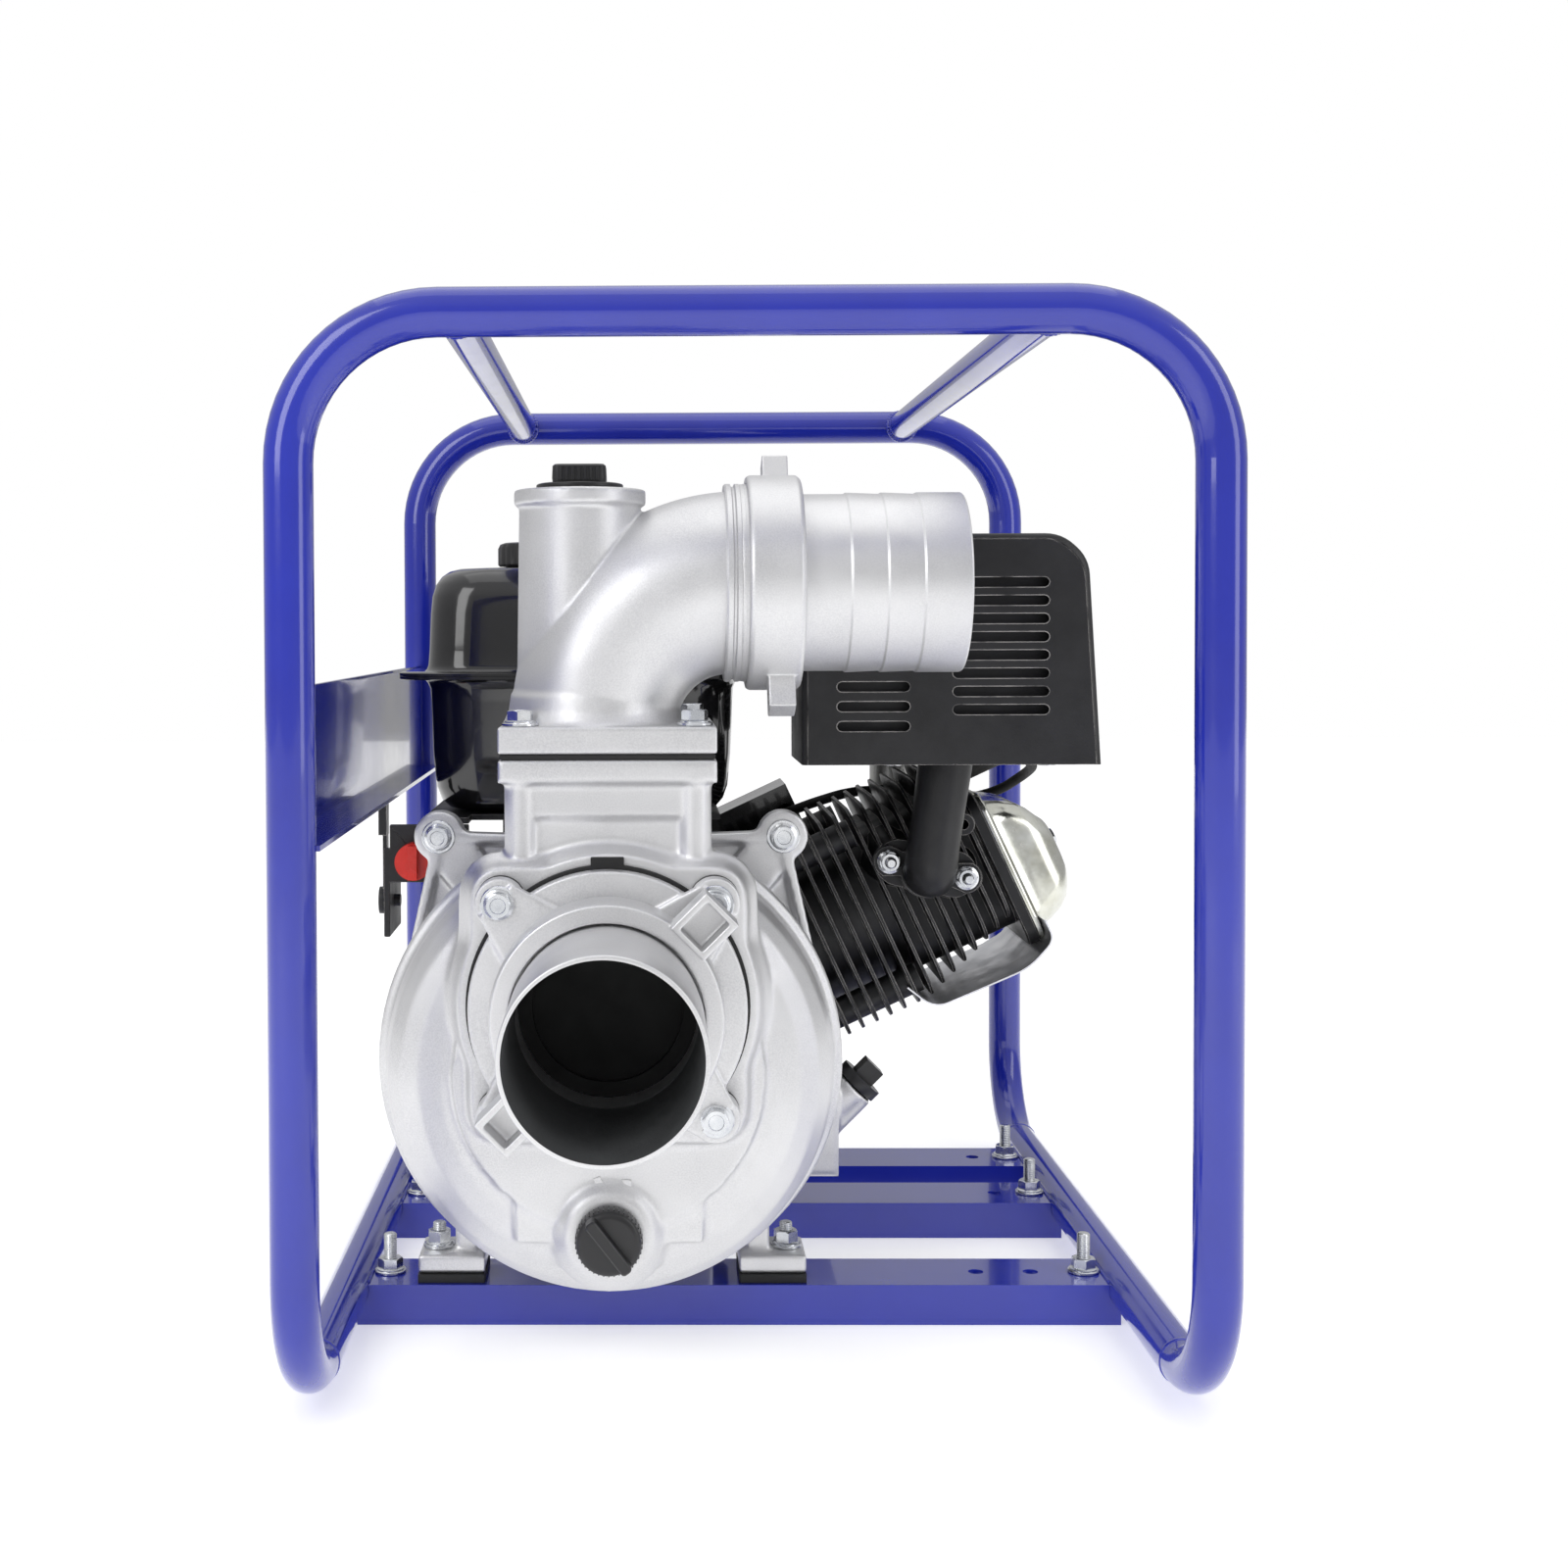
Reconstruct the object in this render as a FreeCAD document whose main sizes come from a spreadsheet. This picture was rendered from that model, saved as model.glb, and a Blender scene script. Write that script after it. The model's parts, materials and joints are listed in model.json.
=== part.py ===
import FreeCAD, Part
import math
import os
import re

import Sketcher

# Engine-driven four-inch water pump in a tubular roll frame.
# Frame: +X right, +Y from the suction mouth towards the recoil starter, +Z up.
# Origin: middle of the footprint, on the ground.

os.makedirs("parts", exist_ok=True)
doc = FreeCAD.newDocument("water_pump")
Vector = FreeCAD.Vector

SIZES = {
    # roll frame
    "frame_width": 490,
    "frame_height": 585,
    "front_plane": -271,
    "hoop_spacing": 593,
    "tube_radius": 12.5,
    "tube_wall": 2.2,
    "top_bend": 75,
    "low_bend": 65,
    "rail_height": 20.5,
    "brace_offset": 149,
    "brace_radius": 10.5,
    "channel_width": 50,
    "channel_height": 24,
    "channel_wall": 3,
    "plate_low": 303,
    "plate_high": 385,
    # pump
    "pump_x": -75,
    "shaft_height": 150,
    "casing_height": 166,
    "casing_radius": 128,
    "casing_wall": 8,
    "casing_front": -176,
    "casing_back": -109,
    "inlet_height": 210,
    "mouth_y": -334.5,
    "tail_radius": 51,
    "tail_bore": 48.6,
    "barb_depth": 0.8,
    "flange_radius": 75,
    "bolt_square": 57.7,
    "outlet_y": -131,
    "outlet_height": 440,
    "neck_top": 343,
    # engine
    "engine_front": -9,
    "engine_back": 179,
    "cylinder_y": 89,
    "cylinder_tilt": 25,
    "bore_radius": 44,
    "fin_half": 68,
    "fin_pitch": 10,
    "tank_seam": 383,
    "tank_left": -219,
    "tank_right": 22,
    "tank_front": 39,
    "tank_back": 262,
}

sheet = doc.addObject("Spreadsheet::Sheet", "Sizes")
for row, (alias, number) in enumerate(SIZES.items(), start=1):
    sheet.set(f"A{row}", alias)
    sheet.set(f"B{row}", str(number))
    sheet.setAlias(f"B{row}", alias)
doc.recompute()

AXES = {
    "x": FreeCAD.Rotation(Vector(0, 1, 0), 90),
    "y": FreeCAD.Rotation(Vector(1, 0, 0), -90),
    "z": FreeCAD.Rotation(),
}
parts = {}


def formula(text):
    """Turn sheet aliases in a formula into references to the sheet."""
    return re.sub(r"[a-z_]+", lambda m: f"Sizes.{m[0]}" if m[0] in SIZES else m[0], str(text))


def size(text):
    """Work a formula out in python, for shapes made with Part's own functions."""
    names = re.sub(r"[a-z_]+", lambda m: str(float(SIZES[m[0]])), str(text))
    total = 0.0
    for sign, number in re.findall(r"([+-]*)\s*([0-9.]+)", names.replace(" ", "")):
        total += float(number) * (-1) ** sign.count("-")
    return total


def add(kind, name="piece", **formulas):
    """Add a document object and bind its properties to the sheet."""
    thing = doc.addObject(kind, name)
    for prop, text in formulas.items():
        thing.setExpression(prop, formula(text))
    return thing


def place(thing, x, y, z, turn=FreeCAD.Rotation()):
    """Turn a piece and bind its place to the sheet."""
    thing.Placement = FreeCAD.Placement(Vector(), turn)
    for axis, text in zip("xyz", (x, y, z)):
        thing.setExpression(f"Placement.Base.{axis}", formula(text))
    return thing


def box(x, y, z, length, width, height):
    return place(add("Part::Box", "block", Length=length, Width=width, Height=height), x, y, z)


def rod(x, y, z, radius, length, along="z"):
    return place(add("Part::Cylinder", "rod", Radius=radius, Height=length), x, y, z, AXES[along])


def cone(x, y, z, start, end, length, along="z"):
    thing = add("Part::Cone", "cone", Radius1=start, Radius2=end, Height=length)
    return place(thing, x, y, z, AXES[along])


def hexagon(x, y, z, across, length, along="z"):
    """A hexagonal prism, given its size across flats."""
    thing = add("Part::Prism", "hexagon", Circumradius=f"{across} * 0.57735", Height=length)
    thing.Polygon = 6
    return place(thing, x, y, z, AXES[along])


def ball(x, y, z, radius):
    return place(add("Part::Sphere", "ball", Radius=radius), x, y, z)


def fuse(*shapes):
    if len(shapes) == 1:
        return shapes[0]
    thing = doc.addObject("Part::MultiFuse", "joined")
    thing.Shapes = list(shapes)
    thing.Refine = True
    return thing


def group(*shapes):
    thing = doc.addObject("Part::Compound", "group")
    thing.Links = list(shapes)
    return thing


def cut(base, *tools):
    thing = doc.addObject("Part::Cut", "cut")
    thing.Base = base
    thing.Tool = fuse(*tools)
    return thing


def ring(x, y, z, outer, inner, length, along="z"):
    return cut(rod(x, y, z, outer, length, along), rod(x, y, z, inner, length, along))


def common(one, other):
    thing = doc.addObject("Part::Common", "overlap")
    thing.Base = one
    thing.Tool = other
    return thing


def own_shape(shape, name="formed"):
    """A sub-part whose shape comes from Part's own functions."""
    thing = doc.addObject("Part::Feature", name)
    thing.Shape = shape
    return thing


def finish(label, thing):
    """Give a sub-part its name and put it on the list of files to write."""
    thing.Label = label
    parts[label] = thing
    return thing


def origin_plane(body, role):
    return next(item for item in body.Origin.OriginFeatures if item.Role == role)


def outline(body, points, role):
    """A closed sketch whose corners are (across, up) formulas from the origin."""
    sketch = body.newObject("Sketcher::SketchObject", "outline")
    sketch.AttachmentSupport = (origin_plane(body, role), [""])
    sketch.MapMode = "FlatFace"
    corners = [Vector(size(across), size(up), 0) for across, up in points]
    for start, end in zip(corners, corners[1:] + corners[:1]):
        sketch.addGeometry(Part.LineSegment(start, end))
    count = len(corners)
    for index in range(count):
        sketch.addConstraint(Sketcher.Constraint("Coincident", index, 2, (index + 1) % count, 1))
    for index, (corner, texts) in enumerate(zip(corners, points)):
        for kind, line, value, text in (
            ("DistanceX", -2, corner.x, texts[0]),
            ("DistanceY", -1, corner.y, texts[1]),
        ):
            if abs(value) < 1e-9:
                sketch.addConstraint(Sketcher.Constraint("PointOnObject", index, 1, line))
                continue
            number = sketch.addConstraint(Sketcher.Constraint(kind, -1, 1, index, 1, value))
            sketch.setExpression(f"Constraints[{number}]", formula(text))
    return sketch


def turned(points, x, y, z, along):
    """A lathe-turned body: (radius, distance) corners turned about its own axis."""
    body = doc.addObject("PartDesign::Body", "turned")
    sketch = outline(body, points, "XZ_Plane")
    doc.recompute()
    feature = body.newObject("PartDesign::Revolution", "revolution")
    feature.Profile = sketch
    feature.ReferenceAxis = (sketch, ["V_Axis"])
    feature.Angle = 360
    return place(body, x, y, z, AXES[along])


def padded(points, length, x, y, z, turn=FreeCAD.Rotation(), role="XZ_Plane"):
    """A body padded from an outline drawn on one of its origin planes."""
    body = doc.addObject("PartDesign::Body", "padded")
    sketch = outline(body, points, role)
    doc.recompute()
    feature = body.newObject("PartDesign::Pad", "pad")
    feature.Profile = sketch
    feature.setExpression("Length", formula(length))
    return place(body, x, y, z, turn)


# ---------------------------------------------------------------- roll frame

FRAME_WIDTH = size("frame_width")
TUBE = size("tube_radius")
TUBE_BORE = TUBE - size("tube_wall")
RAIL_X = FRAME_WIDTH / 2 - TUBE
RAIL_Z = size("rail_height")
TOP_Z = size("frame_height") - TUBE
FRONT_Y = size("front_plane")
REAR_Y = FRONT_Y + size("hoop_spacing")
TOP_BEND = size("top_bend")
LOW_BEND = size("low_bend")


def arc_edge(centre, radius, first, second):
    """A quarter arc about centre, from direction first to direction second."""
    half = (first + second).normalize()
    ends = [centre + direction * radius for direction in (first, half, second)]
    return Part.Arc(*ends).toShape()


def hoop_path(y, inward):
    """Tube centre line: low bend, upright, top bend, top, and down again."""
    left, right, up = Vector(-1, 0, 0), Vector(1, 0, 0), Vector(0, 0, 1)
    along = Vector(0, inward, 0)
    low = RAIL_Z + LOW_BEND
    high = TOP_Z - TOP_BEND
    inner = RAIL_X - TOP_BEND
    low_left = Vector(-RAIL_X, y, low) + along * LOW_BEND
    low_right = Vector(RAIL_X, y, low) + along * LOW_BEND
    edges = [
        arc_edge(low_left, LOW_BEND, -up, -along),
        Part.makeLine(Vector(-RAIL_X, y, low), Vector(-RAIL_X, y, high)),
        arc_edge(Vector(-inner, y, high), TOP_BEND, left, up),
        Part.makeLine(Vector(-inner, y, TOP_Z), Vector(inner, y, TOP_Z)),
        arc_edge(Vector(inner, y, high), TOP_BEND, up, right),
        Part.makeLine(Vector(RAIL_X, y, high), Vector(RAIL_X, y, low)),
        arc_edge(low_right, LOW_BEND, -along, -up),
    ]
    return Part.Wire(edges)


def swept(path, radius):
    """A solid round bar along a path."""
    start = path.Edges[0].valueAt(path.Edges[0].FirstParameter)
    tangent = path.Edges[0].tangentAt(path.Edges[0].FirstParameter)
    section = Part.Wire([Part.makeCircle(radius, start, tangent)])
    return path.makePipeShell([section], True, False)


def add_hoop(label, y, inward):
    path = hoop_path(y, inward)
    bar = swept(path, TUBE)
    finish(label, own_shape(bar.cut(swept(path, TUBE_BORE))))
    return own_shape(bar, f"{label}_outer")


front_outer = add_hoop("front_hoop", FRONT_Y, 1)
rear_outer = add_hoop("rear_hoop", REAR_Y, -1)

for label, side in (("left_rail", "-"), ("right_rail", "")):
    finish(
        label,
        ring(
            f"{side}(frame_width / 2 - tube_radius)",
            "front_plane + low_bend",
            "rail_height",
            "tube_radius",
            "tube_radius - tube_wall",
            "hoop_spacing - 2 * low_bend",
            "y",
        ),
    )

for label, side in (("left_top_brace", "-"), ("right_top_brace", "")):
    bar = ring(
        f"{side}brace_offset",
        "front_plane",
        "frame_height - tube_radius",
        "brace_radius",
        "brace_radius - tube_wall",
        "hoop_spacing",
        "y",
    )
    finish(label, cut(bar, front_outer, rear_outer))

CHANNEL_SECTION = [
    ("-channel_width / 2", 0),
    ("-channel_width / 2 + channel_wall", 0),
    ("-channel_width / 2 + channel_wall", "channel_height - channel_wall"),
    ("channel_width / 2 - channel_wall", "channel_height - channel_wall"),
    ("channel_width / 2 - channel_wall", 0),
    ("channel_width / 2", 0),
    ("channel_width / 2", "channel_height"),
    ("-channel_width / 2", "channel_height"),
]
CHANNEL_Y = {"front": -67, "middle": 102, "rear": 195}
STUD_X = 210
CHANNEL_HOLES = {
    "front": (-STUD_X, -180, 30, 145, 178, STUD_X),
    "middle": (-STUD_X, -172, 23, 186, STUD_X),
    "rear": (-STUD_X, -172, 23, 186, STUD_X),
}
for name, y in CHANNEL_Y.items():
    channel = padded(
        CHANNEL_SECTION,
        "frame_width - 4 * tube_radius + 14",
        "-(frame_width - 4 * tube_radius + 14) / 2",
        y,
        0,
        FreeCAD.Rotation(Vector(0, 0, 1), 90),
    )
    holes = [rod(x, y, 10, 4.5, 20) for x in CHANNEL_HOLES[name]]
    rails = [
        rod(f"{side}(frame_width / 2 - tube_radius)", y - 40, "rail_height", "tube_radius", 80, "y")
        for side in ("-", "")
    ]
    finish(f"{name}_cross_member", cut(channel, *holes, *rails))

plate = fuse(
    box("-frame_width / 2 + tube_radius - 1.5", "front_plane", "plate_low", 3, "hoop_spacing",
        "plate_high - plate_low"),
    box("-frame_width / 2 + tube_radius - 1.5", "front_plane", "plate_low", 16, "hoop_spacing", 3),
)
finish("side_plate", cut(plate, front_outer, rear_outer))

CHANNEL_TOP = "channel_height"
studs = []
for name, y in CHANNEL_Y.items():
    for x in (-STUD_X, STUD_X):
        studs.append(fuse(
            rod(x, y, "channel_height - channel_wall - 5", 4, 32),
            rod(x, y, CHANNEL_TOP, 9.5, 2),
            hexagon(x, y, "channel_height + 2", 13, 7),
            hexagon(x, y, "channel_height - channel_wall - 6", 13, 6),
        ))
finish("frame_studs", group(*studs))

# ---------------------------------------------------------------- pump end

FOOT_X = (-105, 105)
foot_height = "channel_height + 5"
finish("foot_pads", group(*[
    cut(
        box(f"pump_x - {(29 if shift > 0 else 11) - shift}", CHANNEL_Y["front"] - 22, CHANNEL_TOP,
            40, 44, 5),
        rod(f"pump_x + {shift}", CHANNEL_Y["front"], 20, 5, 20),
    )
    for shift in FOOT_X
]))

tail_points = [
    ("tail_bore", 0), ("tail_radius - 0.6", 0), ("tail_radius", 1), ("tail_radius", 40),
    ("tail_radius - barb_depth", 41), ("tail_radius", 58), ("tail_radius - barb_depth", 59),
    ("tail_radius", 76), ("tail_radius - barb_depth", 77), ("tail_radius - barb_depth", 104),
    ("tail_radius + 6", 104),
    ("tail_radius + 6", 112), ("tail_bore", 112),
]
finish("suction_hose_tail", turned(tail_points, "pump_x", "mouth_y", "inlet_height", "y"))

# threaded union ring with two wings to knock it tight
RING_POINTS = [
    ("tail_radius + 0.6", 0), ("tail_radius + 10", 0), ("tail_radius + 11", 4),
    ("tail_radius + 11", 30), ("tail_radius + 6.5", 30), ("tail_radius + 6.5", 9),
    ("tail_radius + 0.6", 9),
]


def wing(direction):
    """One hollow square wing, pointing up to the right or down to the left."""
    outer = add("Part::Box", "wing", Length=26, Width=24, Height=24)
    inner = add("Part::Box", "wing_hollow", Length=20, Width=18, Height=16)
    reach = size("tail_radius") + 8
    bearing = 0 if direction > 0 else 180
    turn = FreeCAD.Rotation(Vector(0, 1, 0), -45 - bearing)
    for block, depth, side, start in ((outer, 4, -12, reach), (inner, 1, -8, reach + 3)):
        corner = turn.multVec(Vector(start, 0, side))
        place(block, f"pump_x + {corner.x}", f"mouth_y + 82 + {depth}",
              f"inlet_height + {corner.z}", turn)
    return cut(outer, inner)


rim = turned(RING_POINTS, "pump_x", "mouth_y + 94.6", "inlet_height", "y")
finish("suction_coupling_ring", fuse(rim, wing(1), wing(-1)))

FLANGE_Y = "mouth_y + 112"
BOLT_SPOTS = [(dx, dz) for dx in (-1, 1) for dz in (-1, 1)]


def square_spot(dx, dz):
    return (f"pump_x + ({dx}) * bolt_square", f"inlet_height + ({dz}) * bolt_square")


def eared_disc(y, thickness, radius, ear, bore):
    """A round flange with four bolt ears and a bore, standing across the shaft."""
    disc = [rod("pump_x", y, "inlet_height", radius, thickness, "y")]
    holes = [rod("pump_x", y, "inlet_height", bore, thickness, "y")]
    for dx, dz in BOLT_SPOTS:
        x, z = square_spot(dx, dz)
        disc.append(rod(x, y, z, ear, thickness, "y"))
        holes.append(rod(x, y, z, 5.2, thickness, "y"))
    return fuse(*disc), fuse(*holes)


disc, holes = eared_disc(f"{FLANGE_Y} + 13", 13, "flange_radius", 13.5, "tail_bore")
collar = rod("pump_x", FLANGE_Y, "inlet_height", "tail_radius + 6", 14, "y")
collar_bore = rod("pump_x", FLANGE_Y, "inlet_height", "tail_bore", 14, "y")
finish("suction_flange", cut(fuse(disc, collar), holes, collar_bore))
disc, holes = eared_disc(f"{FLANGE_Y} + 26", 4, "flange_radius + 2", 13.5, "tail_bore - 8")
tab = box("pump_x - 9", f"{FLANGE_Y} + 26", "inlet_height + flange_radius - 2", 18, 4, 8)
finish("suction_gasket", cut(fuse(disc, tab), holes))


def across_rod(x, y, z, radius, length):
    """A rod that lies along the shaft, in casing places."""
    return rod(x, y, z, radius, length, "y")


CASING_POINTS = [
    (0, 0), ("casing_radius - 36", 0), ("casing_radius - 22", 3), ("casing_radius - 11", 9),
    ("casing_radius - 4", 19), ("casing_radius - 1", 31), ("casing_radius", 50),
    ("casing_radius + 6", 52), ("casing_radius + 6", 67), (0, 67),
]
# the cavity keeps a wall of casing_wall or more inside that outline
CAVITY_POINTS = [
    (0, "casing_wall"), ("casing_radius - 40", "casing_wall"), ("casing_radius - 26", 12),
    ("casing_radius - 16", 20), ("casing_radius - 12", 34), ("casing_radius - 12", 80), (0, 80),
]
BOSS_FRONT = f"{FLANGE_Y} + 30"
DRAIN_Z = 81
casing = [
    turned(CASING_POINTS, "pump_x", "casing_front", "casing_height", "y"),
    across_rod("pump_x", "casing_front - 4", "casing_height + 2", 86, 10),
    across_rod("pump_x", BOSS_FRONT, "inlet_height", "flange_radius", 30),
    box("pump_x - 52", "casing_front - 2.5", 76, 104, 10, 76),
    box("pump_x - 46", "outlet_y - 46", "casing_height + 84", 92, 92,
        "neck_top - casing_height - 84"),
    box("pump_x - 54", "outlet_y - 49", "neck_top - 32", 108, 98, 32),
    box("pump_x - 60", "outlet_y - 53", "neck_top - 13", 120, 106, 13),
    across_rod("pump_x", "casing_front - 10", DRAIN_Z, 22, 14),
]
hollows = [
    turned(CAVITY_POINTS, "pump_x", "casing_front", "casing_height", "y"),
    across_rod("pump_x", BOSS_FRONT, "inlet_height", "tail_bore + 3", 40),
    rod("pump_x", "outlet_y", "casing_height + 80", 44, 120),
    box("pump_x - 70", "casing_back", 220, 140, 60, "casing_height + casing_radius + 3 - 220"),
    across_rod("pump_x", "casing_front - 10", DRAIN_Z, 12, 30),
]
for dx, dz in BOLT_SPOTS:
    x, z = square_spot(dx, dz)
    casing.append(across_rod(x, BOSS_FRONT, z, 13.5, 22))
    hollows.append(across_rod(x, BOSS_FRONT, z, 4.6, 14))
ELBOW_BOLTS = [(dx, dy) for dx in (-48, 48) for dy in (-43, 43)]
for dx, dy in ELBOW_BOLTS:
    post = "neck_top - 95" if dy < 0 else "neck_top - 44"
    casing.append(rod(f"pump_x + {dx}", f"outlet_y + {dy}", post, 9, f"neck_top - 5 - ({post})"))
    hollows.append(rod(f"pump_x + {dx}", f"outlet_y + {dy}", "neck_top - 25", 4.6, 25))
finish("pump_casing", cut(fuse(*casing), *hollows))

VOLUTE_Y = "casing_front + 28"
volute = cut(
    across_rod("pump_x", VOLUTE_Y, "shaft_height", 98, 38),
    across_rod("pump_x", VOLUTE_Y, "shaft_height", 40, 38),
    across_rod("pump_x", f"{VOLUTE_Y} + 6", "shaft_height", 92, 38),
    box("pump_x - 30", f"{VOLUTE_Y} + 6", "shaft_height + 60", 50, 40, 60),
)
finish("inner_volute", volute)


def sloped(thing, u, y, w):
    """Put a piece at u along the tilted cylinder line and w square to it."""
    turn = FreeCAD.Rotation(Vector(0, 1, 0), -size("cylinder_tilt"))
    across = f"pump_x + ({u}) * cos(cylinder_tilt) - ({w}) * sin(cylinder_tilt)"
    up = f"shaft_height + ({u}) * sin(cylinder_tilt) + ({w}) * cos(cylinder_tilt)"
    return place(thing, across, y, up, turn)


def sloped_box(u, y, w, length, width, height):
    return sloped(add("Part::Box", "block", Length=length, Width=width, Height=height), u, y, w)


def sloped_rod(u, y, w, radius, length):
    """A rod that runs out along the tilted cylinder line."""
    thing = sloped(add("Part::Cylinder", "rod", Radius=radius, Height=length), u, y, w)
    thing.Placement.Rotation = FreeCAD.Rotation(Vector(0, 1, 0), 90 - size("cylinder_tilt"))
    return thing


BRACKET_Y = "casing_back"
EAR_Y = "casing_back + 30"
EAR_X, EAR_UP = 103, 124
bracket = [
    across_rod("pump_x", BRACKET_Y, "casing_height", "casing_radius", 12),
    across_rod("pump_x", EAR_Y, "casing_height", "casing_radius", 12),
    across_rod("pump_x", BRACKET_Y, "shaft_height", 95, "engine_front - casing_back"),
]
bracket_holes = [
    across_rod("pump_x", BRACKET_Y, "shaft_height", 15, 20),
    across_rod("pump_x", "casing_back + 12", "shaft_height", 86, 100),
]
for side in (-1, 1):
    ear = add("Part::Box", "ear", Length=164, Width=12, Height=28)
    bearing = math.degrees(math.atan2(EAR_UP, side * EAR_X))
    turn = FreeCAD.Rotation(Vector(0, 1, 0), -bearing)
    corner = turn.multVec(Vector(0, 0, -14))
    bracket.append(place(ear, f"pump_x + {corner.x}", EAR_Y, f"casing_height + {corner.z}", turn))
    bracket.append(across_rod(f"pump_x + {side * EAR_X}", EAR_Y, f"casing_height + {EAR_UP}", 15, 18))
    bracket_holes.append(
        across_rod(f"pump_x + {side * EAR_X}", EAR_Y, f"casing_height + {EAR_UP}", 4.6, 18))
    foot_x = f"pump_x + {side * 105}"
    bracket.append(box(f"{foot_x} - {29 if side > 0 else 11}", CHANNEL_Y["front"] - 20, foot_height,
                       40, 40, 11))
    bracket.append(box(f"{foot_x} - {24 if side > 0 else -10.5}", EAR_Y, foot_height, 13.5, 12, 70))
    bracket_holes.append(rod(foot_x, CHANNEL_Y["front"], 20, 5, 40))
finish("pump_bracket", cut(fuse(*bracket), *bracket_holes))

finish("seal_seat", ring("pump_x", "casing_back - 6", "shaft_height", 26, 13.2, 6, "y"))
finish("seal_ring", ring("pump_x", "casing_back - 12", "shaft_height", 24, 12.6, 5.7, "y"))

IMPELLER_Y = "casing_back - 32"
impeller = [
    across_rod("pump_x", IMPELLER_Y, "shaft_height", 20, 20),
    across_rod("pump_x", f"{IMPELLER_Y} + 15", "shaft_height", 84, 5),
]
for index in range(4):
    turn = FreeCAD.Rotation(Vector(0, 1, 0), 90 * index)
    vane = add("Part::Box", "vane", Length=62, Width=17, Height=6)
    corner = turn.multVec(Vector(16, 0, 8))
    lean = turn * FreeCAD.Rotation(Vector(0, 1, 0), 22)
    impeller.append(place(vane, f"pump_x + {corner.x}", f"{IMPELLER_Y} - 1",
                          f"shaft_height + {corner.z}", lean))
finish("impeller", cut(fuse(*impeller),
                       across_rod("pump_x", f"{IMPELLER_Y} + 2", "shaft_height", 12.6, 30)))

FLAP_Y = f"{BOSS_FRONT} + 0.3"
flap = cut(
    across_rod("pump_x", FLAP_Y, "inlet_height", 44, 4),
    box("pump_x - 50", f"{FLAP_Y} - 1", "inlet_height + 40", 100, 6, 10),
)
flap_pin = rod("pump_x - 15", f"{FLAP_Y} + 2", "inlet_height + 40", 2, 30, "x")
finish("check_valve_flap", fuse(flap, flap_pin))

DRAIN_Y = "casing_front - 10.3"
finish("drain_plug", fuse(
    across_rod("pump_x", f"{DRAIN_Y} - 12", DRAIN_Z, 18.5, 12),
    across_rod("pump_x", DRAIN_Y, DRAIN_Z, 11.5, 16),
    box("pump_x - 17", f"{DRAIN_Y} - 20", DRAIN_Z - 4, 34, 10, 8),
))

casing_bolts = []
for dx, dz in BOLT_SPOTS:
    x, z = square_spot(dx, dz)
    casing_bolts.append(fuse(
        across_rod(x, f"{FLANGE_Y} + 11", z, 10, 2),
        hexagon(x, f"{FLANGE_Y} + 4", z, 13, 7, "y"),
        across_rod(x, f"{FLANGE_Y} + 12", z, 4.2, 30),
    ))
for side in (-1, 1):
    x, z = f"pump_x + {side * EAR_X}", f"casing_height + {EAR_UP}"
    casing_bolts.append(fuse(
        across_rod(x, f"{EAR_Y} - 2", z, 10, 2),
        hexagon(x, f"{EAR_Y} - 9", z, 13, 7, "y"),
        across_rod(x, EAR_Y, z, 4.2, 22),
    ))
finish("casing_bolts", group(*casing_bolts))

# ---------------------------------------------------------------- outlet elbow

bolt_holes = [
    rod(f"pump_x + {dx}", f"outlet_y + {dy}", "neck_top", 4.6, 20) for dx, dy in ELBOW_BOLTS
]
finish("elbow_gasket", cut(
    box("pump_x - 59", "outlet_y - 52", "neck_top", 118, 104, 3),
    rod("pump_x", "outlet_y", "neck_top", 44, 10), *bolt_holes))

NECK_X = "pump_x - 16"
OUTLET_END = 16
BEND = size("outlet_height") - size("neck_top") - 18
BEND_END = OUTLET_END - 20


def bend_between(first, last):
    """A quarter bend from upright at the flange to level at the outlet, growing as it goes."""
    base = Vector(BEND_END - BEND, size("outlet_y"), size("outlet_height") - BEND)
    tip = Vector(BEND_END, size("outlet_y"), size("outlet_height"))
    centre = Vector(BEND_END, size("outlet_y"), size("outlet_height") - BEND)
    middle = centre + Vector(-1, 0, 1).normalize() * BEND
    path = Part.Wire([Part.Arc(base, middle, tip).toShape()])
    sections = [
        Part.Wire([Part.makeCircle(first, base, Vector(0, 0, 1))]),
        Part.Wire([Part.makeCircle(last, tip, Vector(1, 0, 0))]),
    ]
    return own_shape(path.makePipeShell(sections, True, False), "bend")


elbow = cut(
    fuse(
        box("pump_x - 60", "outlet_y - 54", "neck_top + 3", 120, 108, 15),
        bend_between(47, 52),
        rod(BEND_END - 1, "outlet_y", "outlet_height", 52, 5, "x"),
        rod(BEND_END + 2, "outlet_y", "outlet_height", 56, 18, "x"),
        cone(NECK_X, "outlet_y", "neck_top + 16", 36.5, 34.5, "outlet_height + 46 - neck_top - 16"),
        rod(NECK_X, "outlet_y", "outlet_height + 44", 37.4, 9),
    ),
    rod("pump_x - 6", "outlet_y", "neck_top", 39, 20),
    bend_between(39, 45),
    rod(BEND_END - 1, "outlet_y", "outlet_height", 45, 40, "x"),
    rod(NECK_X, "outlet_y", "outlet_height", 20.4, 60),
    *bolt_holes,
)
finish("discharge_elbow", elbow)

finish("elbow_bolts", group(*[
    fuse(
        rod(f"pump_x + {dx}", f"outlet_y + {dy}", "neck_top + 18", 10, 2),
        hexagon(f"pump_x + {dx}", f"outlet_y + {dy}", "neck_top + 20", 13, 7),
        rod(f"pump_x + {dx}", f"outlet_y + {dy}", "neck_top - 20", 4.2, 39),
    )
    for dx, dy in ELBOW_BOLTS
]))

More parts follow.
